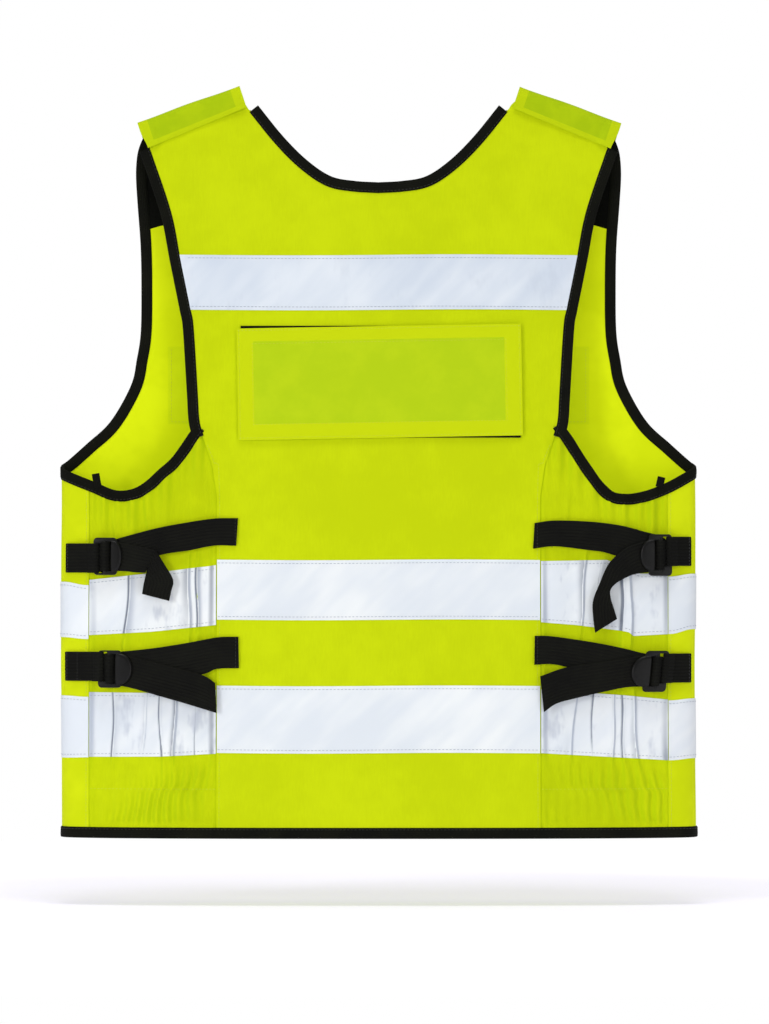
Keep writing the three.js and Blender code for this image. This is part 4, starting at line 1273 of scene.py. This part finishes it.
# ---- Front details: pockets, zip ----
for hand, side in SIDES.items():
    outline = right([(126, 346), (176, 346), (176, 408), (126, 408)], True, smoothed=False)
    pocket = cloth_panel(f"pocket_cloth_{hand}", handed(outline, side), inside_yellow, 4, 1.2, 2.2)
    add(pocket, "vest", f"chest_pocket_{hand}")
    cloths["pocket", hand] = pocket
    rim = [(127.8, 408), (127.8, 347.8), (174.2, 347.8), (174.2, 408)]
    rim = handed(right(rim, True, smoothed=False), side)
    lines = [surface_line(rim, 2.3), surface_line(rim, -0.1)]
    hem = right([(127, 397), (175, 397)], True, smoothed=False)
    lines.append(surface_line(handed(hem, side), 2.3))
    add(repeats(f"pocket_stitches_{hand}", lines, yellow_thread, 3.0, 2.2, 0.45, 0.3))
    low, high = (c[2] * 1000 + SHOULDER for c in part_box(f"zip_{hand}"))
    tape = band("zip_tape", side * along_x(1.4, True), side * along_x(9.6, True), flat_at(low),
                flat_at(high), zip_cloth, 1.0, t=(0.05, 0.8))
    row = surface_line(np.array([(side * along_x(1.5, True), low), (side * along_x(1.5, True), high)]), 0.9,
                       spacing=3)
    teeth = repeats("teeth", [row], zip_black, 1.9, 1.2, 2.3, 1.9)
    chain = joined(f"zip_chain_{hand}", [tape, teeth])
    add(chain, f"leaf_{hand}", f"zip_{hand}")

# ---- What stays from the frame ----
for node in ("zip_slider", "zip_pull"):
    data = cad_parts[node].data
    data.materials.clear()
    data.materials.append(zip_black)

# ---- Bodies ----
for body, members in pieces_on.items():
    for piece in members:
        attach(piece, body)
for piece, hand in blended:
    side = SIDES[hand]
    half_way = 280
    mid = np.array([side * (HINGE_X - HINGE_LEAN * half_way / SHOULDER), float(half_depth(125, half_way)),
                    half_way - SHOULDER]) * 0.001
    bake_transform(piece)
for hand in SIDES:
    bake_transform(cloths["tab", hand])

# ---- Sheets: the cut sheets' names, which nothing uses ----
for hand in SIDES:
    "yoke_cloth_" + hand
    "shoulder_tab_" + hand
    "front_cloth_" + hand

# ---- Floor, backdrop and light ----
floor_data = bpy.data.meshes.new("floor")
FLOOR_HALF, FLOOR_Z = 0.95, -0.681
corners = [(FLOOR_HALF * x, FLOOR_HALF * y, FLOOR_Z) for x, y in ((-1, -1), (1, -1), (1, 1), (-1, 1))]
floor_data.from_pydata(corners, [], [(0, 1, 2, 3)])
floor = bpy.data.objects.new("floor", floor_data)
scene.collection.objects.link(floor)
ground = Finish("floor", roughness=1.0, specular_ior_level=0.0)
ground.set("Base Color", (0.82, 0.79, 0.93))
reach = ground.node("ShaderNodeVectorMath", {"operation": "LENGTH"}, {0: ground.object})[1]
near_floor, far_floor = (0.375, 0.375, 0.375), (0.8, 0.8, 0.8)
ground.set("Emission Color", ground.mix(ground.ramp_value(reach, 0.8, 1.0), near_floor, far_floor))
ground.set("Emission Strength", 1.0)
floor_data.materials.append(ground.material)

world = bpy.data.worlds.new("studio")
scene.world = world
world.use_nodes = True
backdrop, room = world.node_tree.nodes["Background"], world.node_tree.nodes.new("ShaderNodeBackground")
seen = world.node_tree.nodes.new("ShaderNodeLightPath")
choose = world.node_tree.nodes.new("ShaderNodeMixShader")
backdrop.inputs["Color"].default_value = (1, 1, 1, 1)
room.inputs["Color"].default_value = (1, 1, 1, 1)
room.inputs["Strength"].default_value = 0.42
for a, b in ((seen.outputs["Is Camera Ray"], choose.inputs[0]), (room.outputs[0], choose.inputs[1]),
             (backdrop.outputs[0], choose.inputs[2]),
             (choose.outputs[0], world.node_tree.nodes["World Output"].inputs["Surface"])):
    world.node_tree.links.new(a, b)
scene.view_settings.view_transform = "Standard"


def soft_light(name, location, target, size, power):
    lamp = bpy.data.lights.new(name, "AREA")
    lamp.shape, lamp.size, lamp.size_y, lamp.energy = "RECTANGLE", size[0], size[1], power
    holder = bpy.data.objects.new(name, lamp)
    holder.location = location
    holder.rotation_euler = (Vector(target) - Vector(location)).to_track_quat("-Z", "Y").to_euler()
    scene.collection.objects.link(holder)


MIDDLE = (0, 0, -0.35)
soft_light("key", (-2.0, -2.1, 0.1), MIDDLE, (0.6, 0.8), 23)
soft_light("fill", (1.9, -2.6, -0.2), MIDDLE, (0.9, 1.4), 12)
soft_light("top", (0, -0.8, 1.75), (0, 0.1, -0.68), (0.9, 0.6), 17)
soft_light("back", (0.4, 2.6, 0.6), (0, 0, -0.3), (1.6, 1.6), 14)
